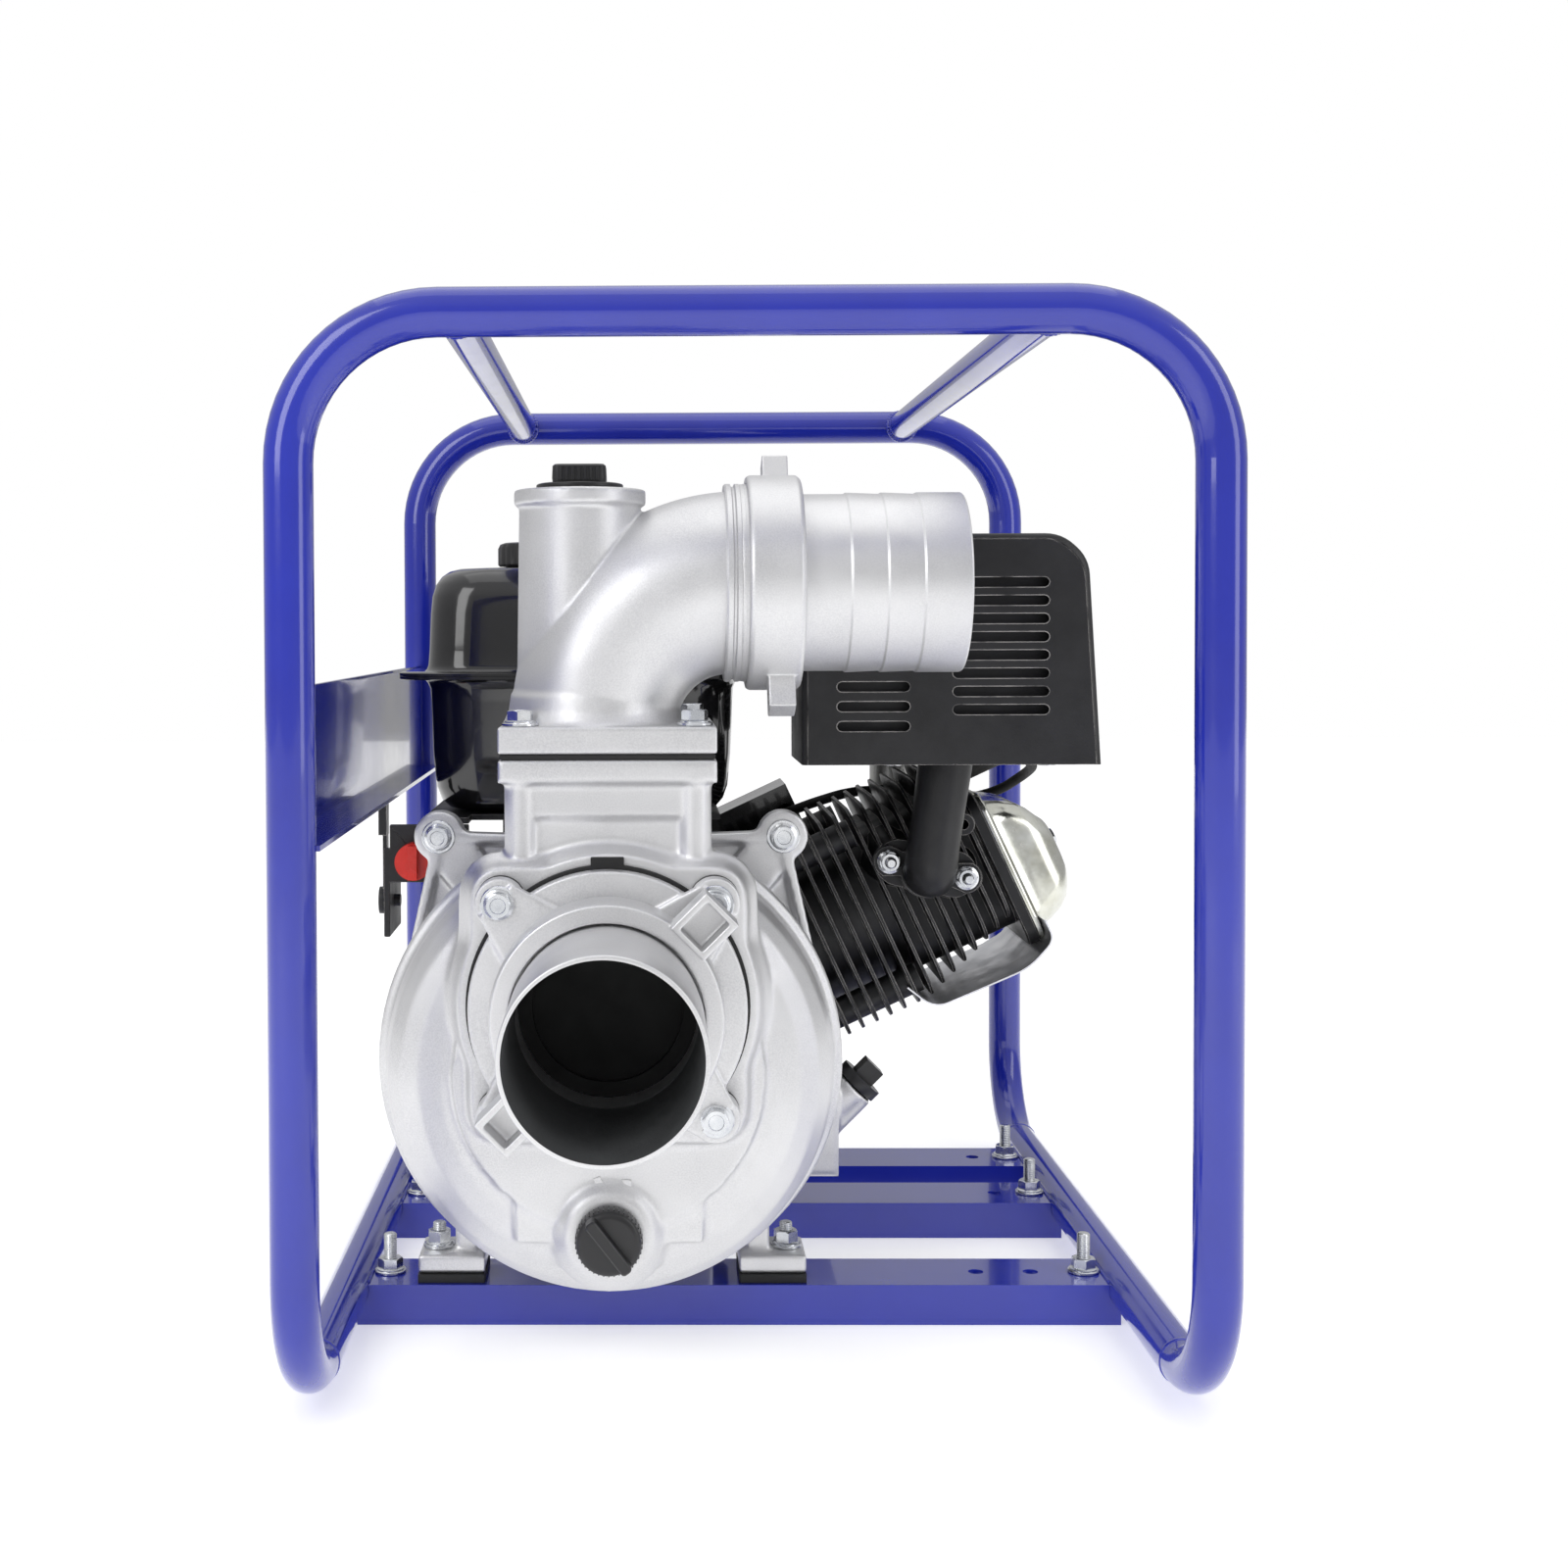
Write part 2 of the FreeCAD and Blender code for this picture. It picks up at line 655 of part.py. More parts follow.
outlet_points = [
    ("tail_bore", 0), ("tail_radius + 5", 0), ("tail_radius + 5", 7.4),
    ("tail_radius - barb_depth", 7.4), ("tail_radius - barb_depth", 42), ("tail_radius", 43),
    ("tail_radius - barb_depth", 62), ("tail_radius", 63), ("tail_radius - barb_depth", 82),
    ("tail_radius", 83), ("tail_radius", 107.7), ("tail_radius - 0.6", 108.7), ("tail_bore", 108.7),
]
finish("outlet_hose_tail", turned(outlet_points, OUTLET_END + 0.3, "outlet_y", "outlet_height", "x"))
NUT_POINTS = [
    ("tail_radius + 5.5", 0), ("tail_radius + 9", 0), ("tail_radius + 10", 2),
    ("tail_radius + 10", 28), ("tail_radius + 8", 30.5), ("tail_radius + 0.6", 30.5),
    ("tail_radius + 0.6", 21), ("tail_radius + 5.5", 21),
]
nut = [turned(NUT_POINTS, 3, "outlet_y", "outlet_height", "x")]
LUG_LEAN = 25
for bearing in (LUG_LEAN, LUG_LEAN + 180):
    lug = add("Part::Box", "lug", Length=15, Width=16, Height=20)
    turn = FreeCAD.Rotation(Vector(1, 0, 0), -bearing)
    corner = turn.multVec(Vector(0, -8, size("tail_radius") + 8))
    nut.append(place(lug, 14, f"outlet_y + {corner.y}", f"outlet_height + {corner.z}", turn))
finish("outlet_coupling_nut", fuse(*nut))

RIM_TOP = "outlet_height + 53"
finish("priming_plug", fuse(
    rod(NECK_X, "outlet_y", "outlet_height + 30", 20, 24),
    rod(NECK_X, "outlet_y", f"{RIM_TOP} + 0.3", 25, 3),
    box(f"{NECK_X} - 15.5", "outlet_y - 15.5", f"{RIM_TOP} + 3", 31, 31, 11),
))

# ---------------------------------------------------------------- engine block

BASE_X = (-97.5, 97.5)
MOUNT_Y = (CHANNEL_Y["middle"], CHANNEL_Y["rear"])
MOUNTS = [(x, y) for x in BASE_X for y in MOUNT_Y]
CASE_Y = "engine_front + 20"
CASE_DEPTH = "engine_back - engine_front - 20"
case = fuse(
    box("pump_x - 85", CASE_Y, "channel_height + 10", 170, CASE_DEPTH, 30),
    box("pump_x - 85", CASE_Y, 60, 230, CASE_DEPTH, 190),
    box("pump_x - 115", 78, "channel_height", 230, 137, 10),
)
OIL_X, OIL_Y, OIL_Z = 60, 29, 94
neck_turn = FreeCAD.Rotation(Vector(0, 1, 0), 45)
neck = place(add("Part::Cylinder", "oil_neck", Radius=15, Height=31), OIL_X, OIL_Y, OIL_Z, neck_turn)
neck_bore = add("Part::Cylinder", "oil_bore", Radius=10.4, Height=46)
place(neck_bore, OIL_X - 8, OIL_Y, OIL_Z - 8, neck_turn)
DECK = 116
crankcase = cut(
    fuse(cut(case, sloped_box(DECK, -20, -200, 300, 240, 400)), neck),
    box("pump_x - 77", "engine_front + 19", 44, 150, f"{CASE_DEPTH} - 9", 16),
    box("pump_x - 77", "engine_front + 19", 60, 176, f"{CASE_DEPTH} - 9", 182),
    across_rod("pump_x", 0, "shaft_height", 17.4, 200),
    neck_bore,
    *[rod(f"pump_x + {x}", y, 20, 4.6, 30) for x, y in MOUNTS],
)
liner_hole = sloped_rod(40, "cylinder_y", 0, 54.2, 100)
finish("crankcase", cut(crankcase, liner_hole))

cover = fuse(
    box("pump_x - 87", "engine_front", 38, 150, 20, 210),
    across_rod("pump_x", "engine_front", "shaft_height", 105, 20),
)
finish("crankcase_cover", cut(cover, across_rod("pump_x", -20, "shaft_height", 17.4, 40)))

barrel = [sloped_rod(DECK - 30, "cylinder_y", 0, 54, 112)]
for index in range(8):
    barrel.append(sloped_box(f"{DECK + 2} + {index} * fin_pitch", "cylinder_y - fin_half",
                             "0 - fin_half", 2.6, "2 * fin_half", "2 * fin_half"))
HEAD_START = DECK + 82
finish("cylinder_barrel", cut(
    fuse(*barrel), sloped_rod(DECK - 60, "cylinder_y", 0, "bore_radius + 0.3", 200)))

PORT_U, PORT_W = 229, 13.5
head = [sloped_box(HEAD_START, "cylinder_y - 52", -52, 74, 104, 104)]
for index in range(8):
    head.append(sloped_box(f"{HEAD_START} + {index} * fin_pitch", "cylinder_y - fin_half",
                           "0 - fin_half", 3, "2 * fin_half", "2 * fin_half"))
head.append(sloped_box(PORT_U - 30, "cylinder_y - fin_half - 6", PORT_W - 16, 60, 40, 32))
head.append(sloped_box(HEAD_START + 74, "cylinder_y - 58", -66, 7, 116, 108))
PLUG_Y, PLUG_W = 74, 56
head.append(sloped_box(HEAD_START + 60, PLUG_Y - 12, 40, 20, 24, 28))
head_holes = [
    sloped_rod(HEAD_START - 1, "cylinder_y", 0, 40, 9),
    sloped_rod(HEAD_START + 40, PLUG_Y, PLUG_W, 6.2, 60),
]
port_x = f"pump_x + ({PORT_U}) * cos(cylinder_tilt) - ({PORT_W}) * sin(cylinder_tilt)"
port_z = f"shaft_height + ({PORT_U}) * sin(cylinder_tilt) + ({PORT_W}) * cos(cylinder_tilt)"
head_holes.append(across_rod(port_x, 0, port_z, 13, 60))
finish("cylinder_head", cut(fuse(*head), *head_holes))

COVER_U = HEAD_START + 81
dome = [
    (0, 0), (0, 106), (4, 106), (4, 100), (24, 88), (38, 68), (38, 34), (26, 8), (4, 4), (4, 0),
]
rocker = padded(dome, 112, 0, 0, 0)
sloped(rocker, COVER_U, "cylinder_y - 56", -66)
rocker.Placement.Rotation = FreeCAD.Rotation(Vector(0, 1, 0), -size("cylinder_tilt"))
rocker.setExpression("Placement.Base.y", formula("cylinder_y + 56"))
hollow_points = [(0, 10), (0, 94), (22, 84), (35, 66), (35, 36), (24, 12)]
hollow = padded(hollow_points, 104, 0, 0, 0)
sloped(hollow, COVER_U, "cylinder_y + 52", -66)
finish("rocker_cover", cut(rocker, hollow))

PISTON_U = 100
finish("piston", cut(
    sloped_rod(PISTON_U + 34, "cylinder_y", 0, "bore_radius", 50),
    sloped_rod(PISTON_U + 33, "cylinder_y", 0, "bore_radius - 5", 40),
    sloped_box(PISTON_U + 47, "cylinder_y - 60", -9, 18, 120, 18),
))
pin_x = f"pump_x + ({PISTON_U + 56}) * cos(cylinder_tilt)"
pin_z = f"shaft_height + ({PISTON_U + 56}) * sin(cylinder_tilt)"
finish("connecting_rod", fuse(
    across_rod(pin_x, "cylinder_y - 38", pin_z, 8, 76),
    across_rod(pin_x, "cylinder_y - 9", pin_z, 14, 18),
    sloped_box(PISTON_U - 10, "cylinder_y - 5", -8, 62, 10, 16),
))

CRANK_START = "casing_back - 30"
crankshaft = [
    across_rod("pump_x", CRANK_START, "shaft_height", 12.5, f"engine_front - ({CRANK_START})"),
    across_rod("pump_x", "engine_front", "shaft_height", 17, "engine_back - engine_front + 6"),
    across_rod("pump_x", "cylinder_y - 30", "shaft_height", 46, 14),
    across_rod("pump_x", "cylinder_y + 16", "shaft_height", 46, 14),
    across_rod("pump_x", "engine_back + 6", "shaft_height", 14, 56),
]
finish("crankshaft", fuse(*crankshaft))

flywheel = cut(
    fuse(
        across_rod("pump_x", "engine_back + 9", "shaft_height", 96, 12),
        across_rod("pump_x", "engine_back + 9", "shaft_height", 30, 30),
    ),
    across_rod("pump_x", "engine_back + 6", "shaft_height", 14.1, 60),
)
blades = []
for index in range(12):
    turn = FreeCAD.Rotation(Vector(0, 1, 0), 30 * index)
    blade = add("Part::Box", "blade", Length=34, Width=18, Height=3)
    corner = turn.multVec(Vector(60, 0, 0))
    blades.append(place(blade, f"pump_x + {corner.x}", "engine_back + 21",
                        f"shaft_height + {corner.z}", turn))
finish("flywheel", fuse(flywheel, *blades))

BLOWER_Y = "engine_back"
scroll = fuse(
    across_rod("pump_x", BLOWER_Y, "shaft_height", 113, 55),
    sloped_box(0, BLOWER_Y, -80, 175, 55, 165),
)
scroll_hollow = fuse(
    across_rod("pump_x", f"{BLOWER_Y} + 2", "shaft_height", 110.5, 50.5),
    sloped_box(0, f"{BLOWER_Y} + 2", -77.5, 172.5, 50.5, 160),
)
finish("blower_housing", cut(
    scroll, scroll_hollow,
    across_rod(48, f"{BLOWER_Y} - 1", 280, 6.5, 8),
    across_rod("pump_x", f"{BLOWER_Y} - 1", "shaft_height", 60, 10),
    across_rod("pump_x", f"{BLOWER_Y} + 50", "shaft_height", 80, 10),
))

STARTER_Y = "engine_back + 55"
starter = cut(
    across_rod("pump_x", STARTER_Y, "shaft_height", 94, 52),
    across_rod("pump_x", STARTER_Y, "shaft_height", 91.5, 49.5),
)
vents = []
for index in range(16):
    turn = FreeCAD.Rotation(Vector(0, 1, 0), 22.5 * index)
    vent = add("Part::Box", "vent", Length=34, Width=12, Height=7)
    corner = turn.multVec(Vector(48, 0, -3.5))
    vents.append(place(vent, f"pump_x + {corner.x}", f"{STARTER_Y} + 45",
                       f"shaft_height + {corner.z}", turn))
PULL_BEARING = 120
PULL_OUT = Vector(math.cos(math.radians(PULL_BEARING)), 0, math.sin(math.radians(PULL_BEARING)))
PULL_SIDE = Vector(-PULL_OUT.z, 0, PULL_OUT.x)
ROPE_LINE = PULL_SIDE * 40
ROPE_Y = "engine_back + 78"


def along_pull(kind, reach, **formulas):
    """A piece on the starter rope's line, reach out from the shaft."""
    spot = PULL_OUT * reach + ROPE_LINE
    turn = FreeCAD.Rotation(Vector(0, 0, 1), PULL_OUT)
    thing = add(kind, "pull", **formulas)
    return place(thing, f"pump_x + {spot.x}", ROPE_Y, f"shaft_height + {spot.z}", turn)


rope_hole = along_pull("Part::Cylinder", 60, Radius=4, Height=40)
finish("starter_housing", cut(starter, *vents, rope_hole))
grip_turn = FreeCAD.Rotation(Vector(0, 0, 1), PULL_SIDE)
grip_spot = PULL_OUT * 104 + ROPE_LINE - PULL_SIDE * 21
grip = place(add("Part::Cylinder", "grip", Radius=8, Height=42), f"pump_x + {grip_spot.x}", ROPE_Y,
             f"shaft_height + {grip_spot.z}", grip_turn)
finish("starter_handle", fuse(
    grip,
    along_pull("Part::Cone", 95, Radius1=5, Radius2=9, Height=12),
    along_pull("Part::Cylinder", 4, Radius=2.5, Height=95),
))

# ---------------------------------------------------------------- exhaust

pipe_y = "cylinder_y - fin_half - 27"
flange_turn = FreeCAD.Rotation(Vector(0, 1, 0), 12)
flange_corner = flange_turn.multVec(Vector(-36, 0, -14))
flange = place(
    add("Part::Box", "flange", Length=72, Width=6, Height=28), f"{port_x} + {flange_corner.x}",
    "cylinder_y - fin_half - 12", f"{port_z} + {flange_corner.z}", flange_turn)
upright = place(
    add("Part::Cylinder", "pipe", Radius=17, Height=90), port_x, pipe_y, port_z,
    FreeCAD.Rotation(Vector(0, 0, 1), Vector(0.14, 0, 1)))
finish("exhaust_elbow", common(
    fuse(flange, upright, ball(port_x, pipe_y, port_z, 17),
         across_rod(port_x, pipe_y, port_z, 17, 20)),
    box(0, -100, 200, 300, 200, 143),
))

MUFFLER_LOW = 343
muffler_points = [
    ("0 - 78", 12), ("0 - 66", 0), (66, 0), (78, 12),
    (78, 100), (64, 115), ("0 - 64", 115), ("0 - 78", 100),
]
shell = padded(muffler_points, 110, 132, 62, MUFFLER_LOW)
inside_points = [
    ("0 - 75", 14), ("0 - 65", 3), (65, 3), (75, 14),
    (75, 98), (63, 112), ("0 - 63", 112), ("0 - 75", 98),
]
inside = padded(inside_points, 104, 132, 59, MUFFLER_LOW)
finish("muffler", cut(shell, inside, rod(134, -4, 300, 12, 60), across_rod(176, 50, 420, 8, 20)))

GUARD_OUT = [(41, 331), (222, 331), (215, 452), (196, 471), (60, 471), (41, 452)]
GUARD_IN = [(42.8, 320), (220.8, 320), (213.2, 451), (195, 469.2), (61, 469.2), (42.8, 451)]
outer = padded(GUARD_OUT, 90, 0, 29, 0)
inner = padded(GUARD_IN, 100, 0, 40.8, 0)
slots = [box(132, -70, 362 + 11 * row, 58, 20, 5.5) for row in range(8)]
slots += [box(62, -70, 352 + 12 * row, 42, 20, 5.5) for row in range(3)]
finish("muffler_guard", cut(outer, inner, *slots))

# ---------------------------------------------------------------- fuel tank

TANK_MID = -98
lower_points = [
    ("0 - 102", 92), ("0 - 100", 22), ("0 - 70", 0), (92, 0), (102, 22), (104, 92),
]
upper_points = [("0 - 102", 0), (104, 0), (100, 48), (76, 73), ("0 - 74", 73), ("0 - 98", 50)]
tank_shells = (
    ("fuel_tank_lower", lower_points, "tank_seam - 92", "tank_seam - 2.5"),
    ("fuel_tank_upper", upper_points, "tank_seam", "tank_seam"),
)
FILLER_X, FILLER_Y, TANK_TOP = -130, 150, "tank_seam + 73"
for label, points, low, seam in tank_shells:
    shell = padded(points, "tank_back - tank_front - 28", TANK_MID, "tank_back - 14", low)
    shell.setExpression("Placement.Base.y", formula("tank_back - 14"))
    seam_plate = box("tank_left", "tank_front", seam, "tank_right - tank_left",
                     "tank_back - tank_front", 2.5)
    hollow_low = "tank_seam - 84" if label == "fuel_tank_lower" else "tank_seam - 5"
    hollow_height = 100 if label == "fuel_tank_lower" else 55
    inside = box("tank_left + 30", "tank_front + 18", hollow_low, 180,
                 "tank_back - tank_front - 36", hollow_height)
    tools = [inside]
    if label == "fuel_tank_upper":
        tools.append(rod(FILLER_X, FILLER_Y, "tank_seam + 40", 19.4, 60))
        neck = rod(FILLER_X, FILLER_Y, "tank_seam + 60", 22, 20)
        finish(label, cut(fuse(shell, seam_plate, neck), *tools))
    else:
        finish(label, cut(fuse(shell, seam_plate), *tools))
finish("fuel_cap", cut(
    rod(FILLER_X, FILLER_Y, f"{TANK_TOP} + 2", 28, 17),
    rod(FILLER_X, FILLER_Y, f"{TANK_TOP} + 1", 22.5, 7),
))

panel_y = "tank_front - 3"
bracket = fuse(
    box(-200, 60, "tank_seam - 96.5", 196, 150, 4),
    box(-150, 70, 250, 20, 100, "tank_seam - 96.5 - 250"),
    box(-40, 70, 250, 20, 70, "tank_seam - 96.5 - 250"),
    box(-222, panel_y, 248, 52, 4, 38),
    box(-200, panel_y, "tank_seam - 96.5", 30, 40, 4),
    box(-226, panel_y, 212, 4, 60, 52),
    box(-226, panel_y, "tank_seam - 97.5 - 25", 6, 4, 10),
)
SWITCH_X, SWITCH_Z = -205, 263
LEVER_Y, LEVER_Z = 62, 233
finish("tank_bracket", cut(
    bracket,
    across_rod(SWITCH_X, 20, SWITCH_Z, 5.3, 30),
    rod(-230, LEVER_Y, LEVER_Z, 4.3, 20, "x"),
))
finish("engine_switch", fuse(
    across_rod(SWITCH_X, "tank_front - 18", SWITCH_Z, 12, 14.6),
    across_rod(SWITCH_X, "tank_front - 18", SWITCH_Z, 5, 24),
    box(SWITCH_X - 3, "tank_front - 24", SWITCH_Z - 11, 6, 8, 22),
))
finish("throttle_lever", fuse(
    rod(-232, LEVER_Y, LEVER_Z, 4, 14, "x"),
    rod(-232, LEVER_Y, LEVER_Z, 9, 5.6, "x"),
    box(-229.4, LEVER_Y - 4, LEVER_Z, 3, 8, 52),
    box(-232, LEVER_Y - 6, LEVER_Z + 44, 5.6, 12, 20),
))

# ---------------------------------------------------------------- intake

carb_x = f"{port_x} + 2"
finish("carburettor", cut(
    fuse(
        box(f"{carb_x} - 24", "cylinder_y + fin_half + 0.2", 236, 48, 12, 50),
        across_rod(carb_x, "cylinder_y + fin_half + 2", 262, 21, 45),
        rod(carb_x, 184, 224, 15, 36),
        rod(carb_x, 196, 262, 18, 74),
    ),
    across_rod(carb_x, "cylinder_y + fin_half - 2", 262, 10, 35),
    rod(carb_x, 196, 255, 12, 90),
))
finish("air_cleaner_base", cut(
    box(66, 98, 336, 140, 118, 14),
    rod(carb_x, 196, 330, 12, 30),
))
cover_points = [("0 - 69", 0), (69, 0), (66, 80), (50, 98), ("0 - 50", 98), ("0 - 66", 80)]
cleaner_hollow = [
    ("0 - 65", "0 - 1"), (65, "0 - 1"), (62, 78), (48, 94), ("0 - 48", 94), ("0 - 62", 78),
]
finish("air_cleaner_cover", cut(
    padded(cover_points, 116, 136, 215, 350.3),
    padded(cleaner_hollow, 108, 136, 211, 350.3),
))

spark = fuse(
    sloped_rod(HEAD_START + 62, PLUG_Y, PLUG_W, 6, 30),
    sloped_rod(HEAD_START + 81, PLUG_Y, PLUG_W, 10, 6),
    sloped_rod(HEAD_START + 86, PLUG_Y, PLUG_W, 5.5, 14),
)
finish("spark_plug", spark)


def rounded_wire(points):
    """Straight runs joined by tangent arcs, each as large as its runs allow."""
    edges, start = [], points[0]
    for before, here, after in zip(points, points[1:], points[2:]):
        back, ahead = before - here, after - here
        shorter = min(back.Length, ahead.Length)
        back.normalize()
        ahead.normalize()
        trim = 0.45 * shorter
        turn = math.pi - back.getAngle(ahead)
        radius = trim / math.tan(turn / 2)
        entry, leave = here + back * trim, here + ahead * trim
        bisector = (back + ahead).normalize()
        reach = math.hypot(radius, trim)
        middle = here + bisector * (reach - radius)
        edges += [Part.makeLine(start, entry), Part.Arc(entry, middle, leave).toShape()]
        start = leave
        print(f"lead bend radius {radius:.1f} mm")
    edges.append(Part.makeLine(start, points[-1]))
    return Part.Wire(edges)


tilt = math.radians(size("cylinder_tilt"))
out = Vector(math.cos(tilt), 0, math.sin(tilt))
square = Vector(-math.sin(tilt), 0, math.cos(tilt))
shaft = Vector(size("pump_x"), 0, size("shaft_height"))
cap_start = shaft + out * (HEAD_START + 88) + square * PLUG_W + Vector(0, PLUG_Y, 0)
cap_end = cap_start + out * 26
LEAD = [
    cap_end - out * 2,
    cap_end + Vector(9, 10, -2),
    Vector(214, 106, 320),
    Vector(214, 134, 312),
    Vector(200, 158, 298),
    Vector(180, 168, 291),
    Vector(156, 170, 292),
    Vector(128, 168, 298),
    Vector(92, 166, 296),
    Vector(66, 166, 288),
    Vector(50, 174, 281),
    Vector(44, 194, 278),
]
cap = Part.makeCylinder(10, 26, cap_start, out).cut(Part.makeCylinder(6, 14, cap_start, out))
lead_tube = swept(rounded_wire(LEAD), 3.5)
finish("spark_plug_lead", own_shape(cap.fuse(lead_tube)))

cap_turn = FreeCAD.Rotation(Vector(0, 1, 0), 45)
cap_base = Vector(OIL_X, OIL_Y, OIL_Z) + cap_turn.multVec(Vector(0, 0, 31.3))
stem_base = cap_base - cap_turn.multVec(Vector(0, 0, 20))
grip_base = cap_base + cap_turn.multVec(Vector(-7, -7, 6))
cap_disc = add("Part::Cylinder", "cap", Radius=15, Height=7)
cap_stem = add("Part::Cylinder", "stem", Radius=10, Height=21)
cap_grip = add("Part::Box", "grip", Length=14, Width=14, Height=12)
finish("oil_filler_cap", fuse(
    place(cap_disc, cap_base.x, cap_base.y, cap_base.z, cap_turn),
    place(cap_stem, stem_base.x, stem_base.y, stem_base.z, cap_turn),
    place(cap_grip, grip_base.x, grip_base.y, grip_base.z, cap_turn),
))

# ---------------------------------------------------------------- fasteners

mounting = []
for x, y in MOUNTS:
    mounting.append(fuse(
        rod(f"pump_x + {x}", y, 12, 4, 32),
        rod(f"pump_x + {x}", y, 34, 9, 2),
        hexagon(f"pump_x + {x}", y, 36, 13, 6),
        hexagon(f"pump_x + {x}", y, "channel_height - channel_wall - 7", 13, 7),
    ))
for shift in FOOT_X:
    x, y = f"pump_x + {shift}", CHANNEL_Y["front"]
    mounting.append(fuse(
        rod(x, y, 12, 4, 43),
        rod(x, y, 40, 10, 2),
        hexagon(x, y, 42, 13, 8),
        hexagon(x, y, "channel_height - channel_wall - 7", 13, 7),
    ))
finish("mounting_bolts", group(*mounting))

engine_bolts = []
for side in (-25.2, 25.2):
    spot = flange_turn.multVec(Vector(side, 0, 0))
    spot_x = f"{port_x} + {spot.x}"
    spot_z = f"{port_z} + {spot.z}"
    face = "cylinder_y - fin_half - 12"
    engine_bolts.append(fuse(
        across_rod(spot_x, f"{face} - 2", spot_z, 7.9, 2),
        hexagon(spot_x, f"{face} - 8", spot_z, 13, 6, "y"),
        across_rod(spot_x, f"{face} - 12", spot_z, 3.6, 12),
    ))
engine_bolts.append(fuse(
    sloped_rod(COVER_U + 38, "cylinder_y", -15, 8, 2),
    sloped_rod(COVER_U + 38, "cylinder_y", -15, 5, 7),
))
for x in (98, 192):
    engine_bolts.append(fuse(rod(x, -44, 336, 8, 7), hexagon(x, -44, 329, 12, 7)))
finish("engine_bolts", group(*engine_bolts))

# ---------------------------------------------------------------- checks and files

doc.recompute()
for thing in doc.Objects:
    if {"Invalid", "Error"} & set(thing.State):
        raise RuntimeError(f"{thing.Name} ({thing.Label}) failed: {thing.State}")
for label, thing in parts.items():
    shape = thing.Shape
    if shape.isNull() or not shape.isValid() or not shape.Solids:
        raise RuntimeError(f"{label} has no valid shape")
for label, thing in parts.items():
    thing.Shape.exportStep(f"parts/{label}.step")
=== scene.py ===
import json
import math

import bmesh
import bpy
from mathutils import Matrix, Vector

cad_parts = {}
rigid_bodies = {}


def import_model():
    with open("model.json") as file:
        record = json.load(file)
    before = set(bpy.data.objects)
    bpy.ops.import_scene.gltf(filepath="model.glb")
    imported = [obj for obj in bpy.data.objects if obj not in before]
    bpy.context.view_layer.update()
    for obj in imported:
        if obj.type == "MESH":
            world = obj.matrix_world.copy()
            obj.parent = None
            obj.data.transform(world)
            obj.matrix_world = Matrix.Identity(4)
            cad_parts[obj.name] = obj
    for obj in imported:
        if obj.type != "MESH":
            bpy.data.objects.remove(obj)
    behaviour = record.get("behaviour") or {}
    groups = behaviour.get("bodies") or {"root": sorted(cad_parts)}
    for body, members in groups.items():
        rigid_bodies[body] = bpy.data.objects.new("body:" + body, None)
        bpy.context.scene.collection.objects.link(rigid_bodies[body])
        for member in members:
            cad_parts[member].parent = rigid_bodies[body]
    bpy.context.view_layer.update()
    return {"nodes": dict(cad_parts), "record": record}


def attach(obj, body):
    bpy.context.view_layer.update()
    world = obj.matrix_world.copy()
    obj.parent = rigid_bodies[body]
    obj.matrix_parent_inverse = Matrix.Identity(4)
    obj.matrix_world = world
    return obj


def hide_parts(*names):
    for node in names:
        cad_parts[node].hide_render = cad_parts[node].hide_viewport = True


for leftover in list(bpy.data.objects):
    bpy.data.objects.remove(leftover)
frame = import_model()

BODIES = frame["record"]["behaviour"]["bodies"]
SLOTS = {item["node"]: item["material_slot"] for item in frame["record"]["subparts"]}
MM = 0.001


def placed(name, data):
    """A new object in the scene."""
    thing = bpy.data.objects.new(name, data)
    bpy.context.scene.collection.objects.link(thing)
    return thing


def body_of_node(node):
    return next(body for body, nodes in BODIES.items() if node in nodes)


# ---------------------------------------------------------------- shader effects

def new_effect(name, inputs, outputs):
    """An empty node group with named sockets, its two end nodes and its link call."""
    effect = bpy.data.node_groups.new(name, "ShaderNodeTree")
    for label, value in inputs.items():
        socket = effect.interface.new_socket(name=label, in_out="INPUT", socket_type="NodeSocketFloat")
        socket.default_value = value
    for label, kind in outputs.items():
        effect.interface.new_socket(name=label, in_out="OUTPUT", socket_type=kind)
    entry = effect.nodes.new("NodeGroupInput")
    leave = effect.nodes.new("NodeGroupOutput")
    return effect, entry, leave, effect.links.new


def noise_node(tree, scale, detail=4.0, roughness=0.55):
    node = tree.nodes.new("ShaderNodeTexNoise")
    node.inputs["Detail"].default_value = detail
    node.inputs["Roughness"].default_value = roughness
    if isinstance(scale, (int, float)):
        node.inputs["Scale"].default_value = scale
    else:
        tree.links.new(scale, node.inputs["Scale"])
    place = tree.nodes.new("ShaderNodeTexCoord")
    tree.links.new(place.outputs["Object"], node.inputs["Vector"])
    return node


def ramp_node(tree, value, low, high):
    """Map value from low..high to 0..1, held at both ends."""
    node = tree.nodes.new("ShaderNodeMapRange")
    node.clamp = True
    node.inputs["From Min"].default_value = low
    node.inputs["From Max"].default_value = high
    tree.links.new(value, node.inputs["Value"])
    return node.outputs["Result"]


def product(tree, first, second):
    node = tree.nodes.new("ShaderNodeMath")
    node.operation = "MULTIPLY"
    for socket, value in zip(node.inputs, (first, second)):
        tree.links.new(value, socket)
    return node.outputs["Value"]


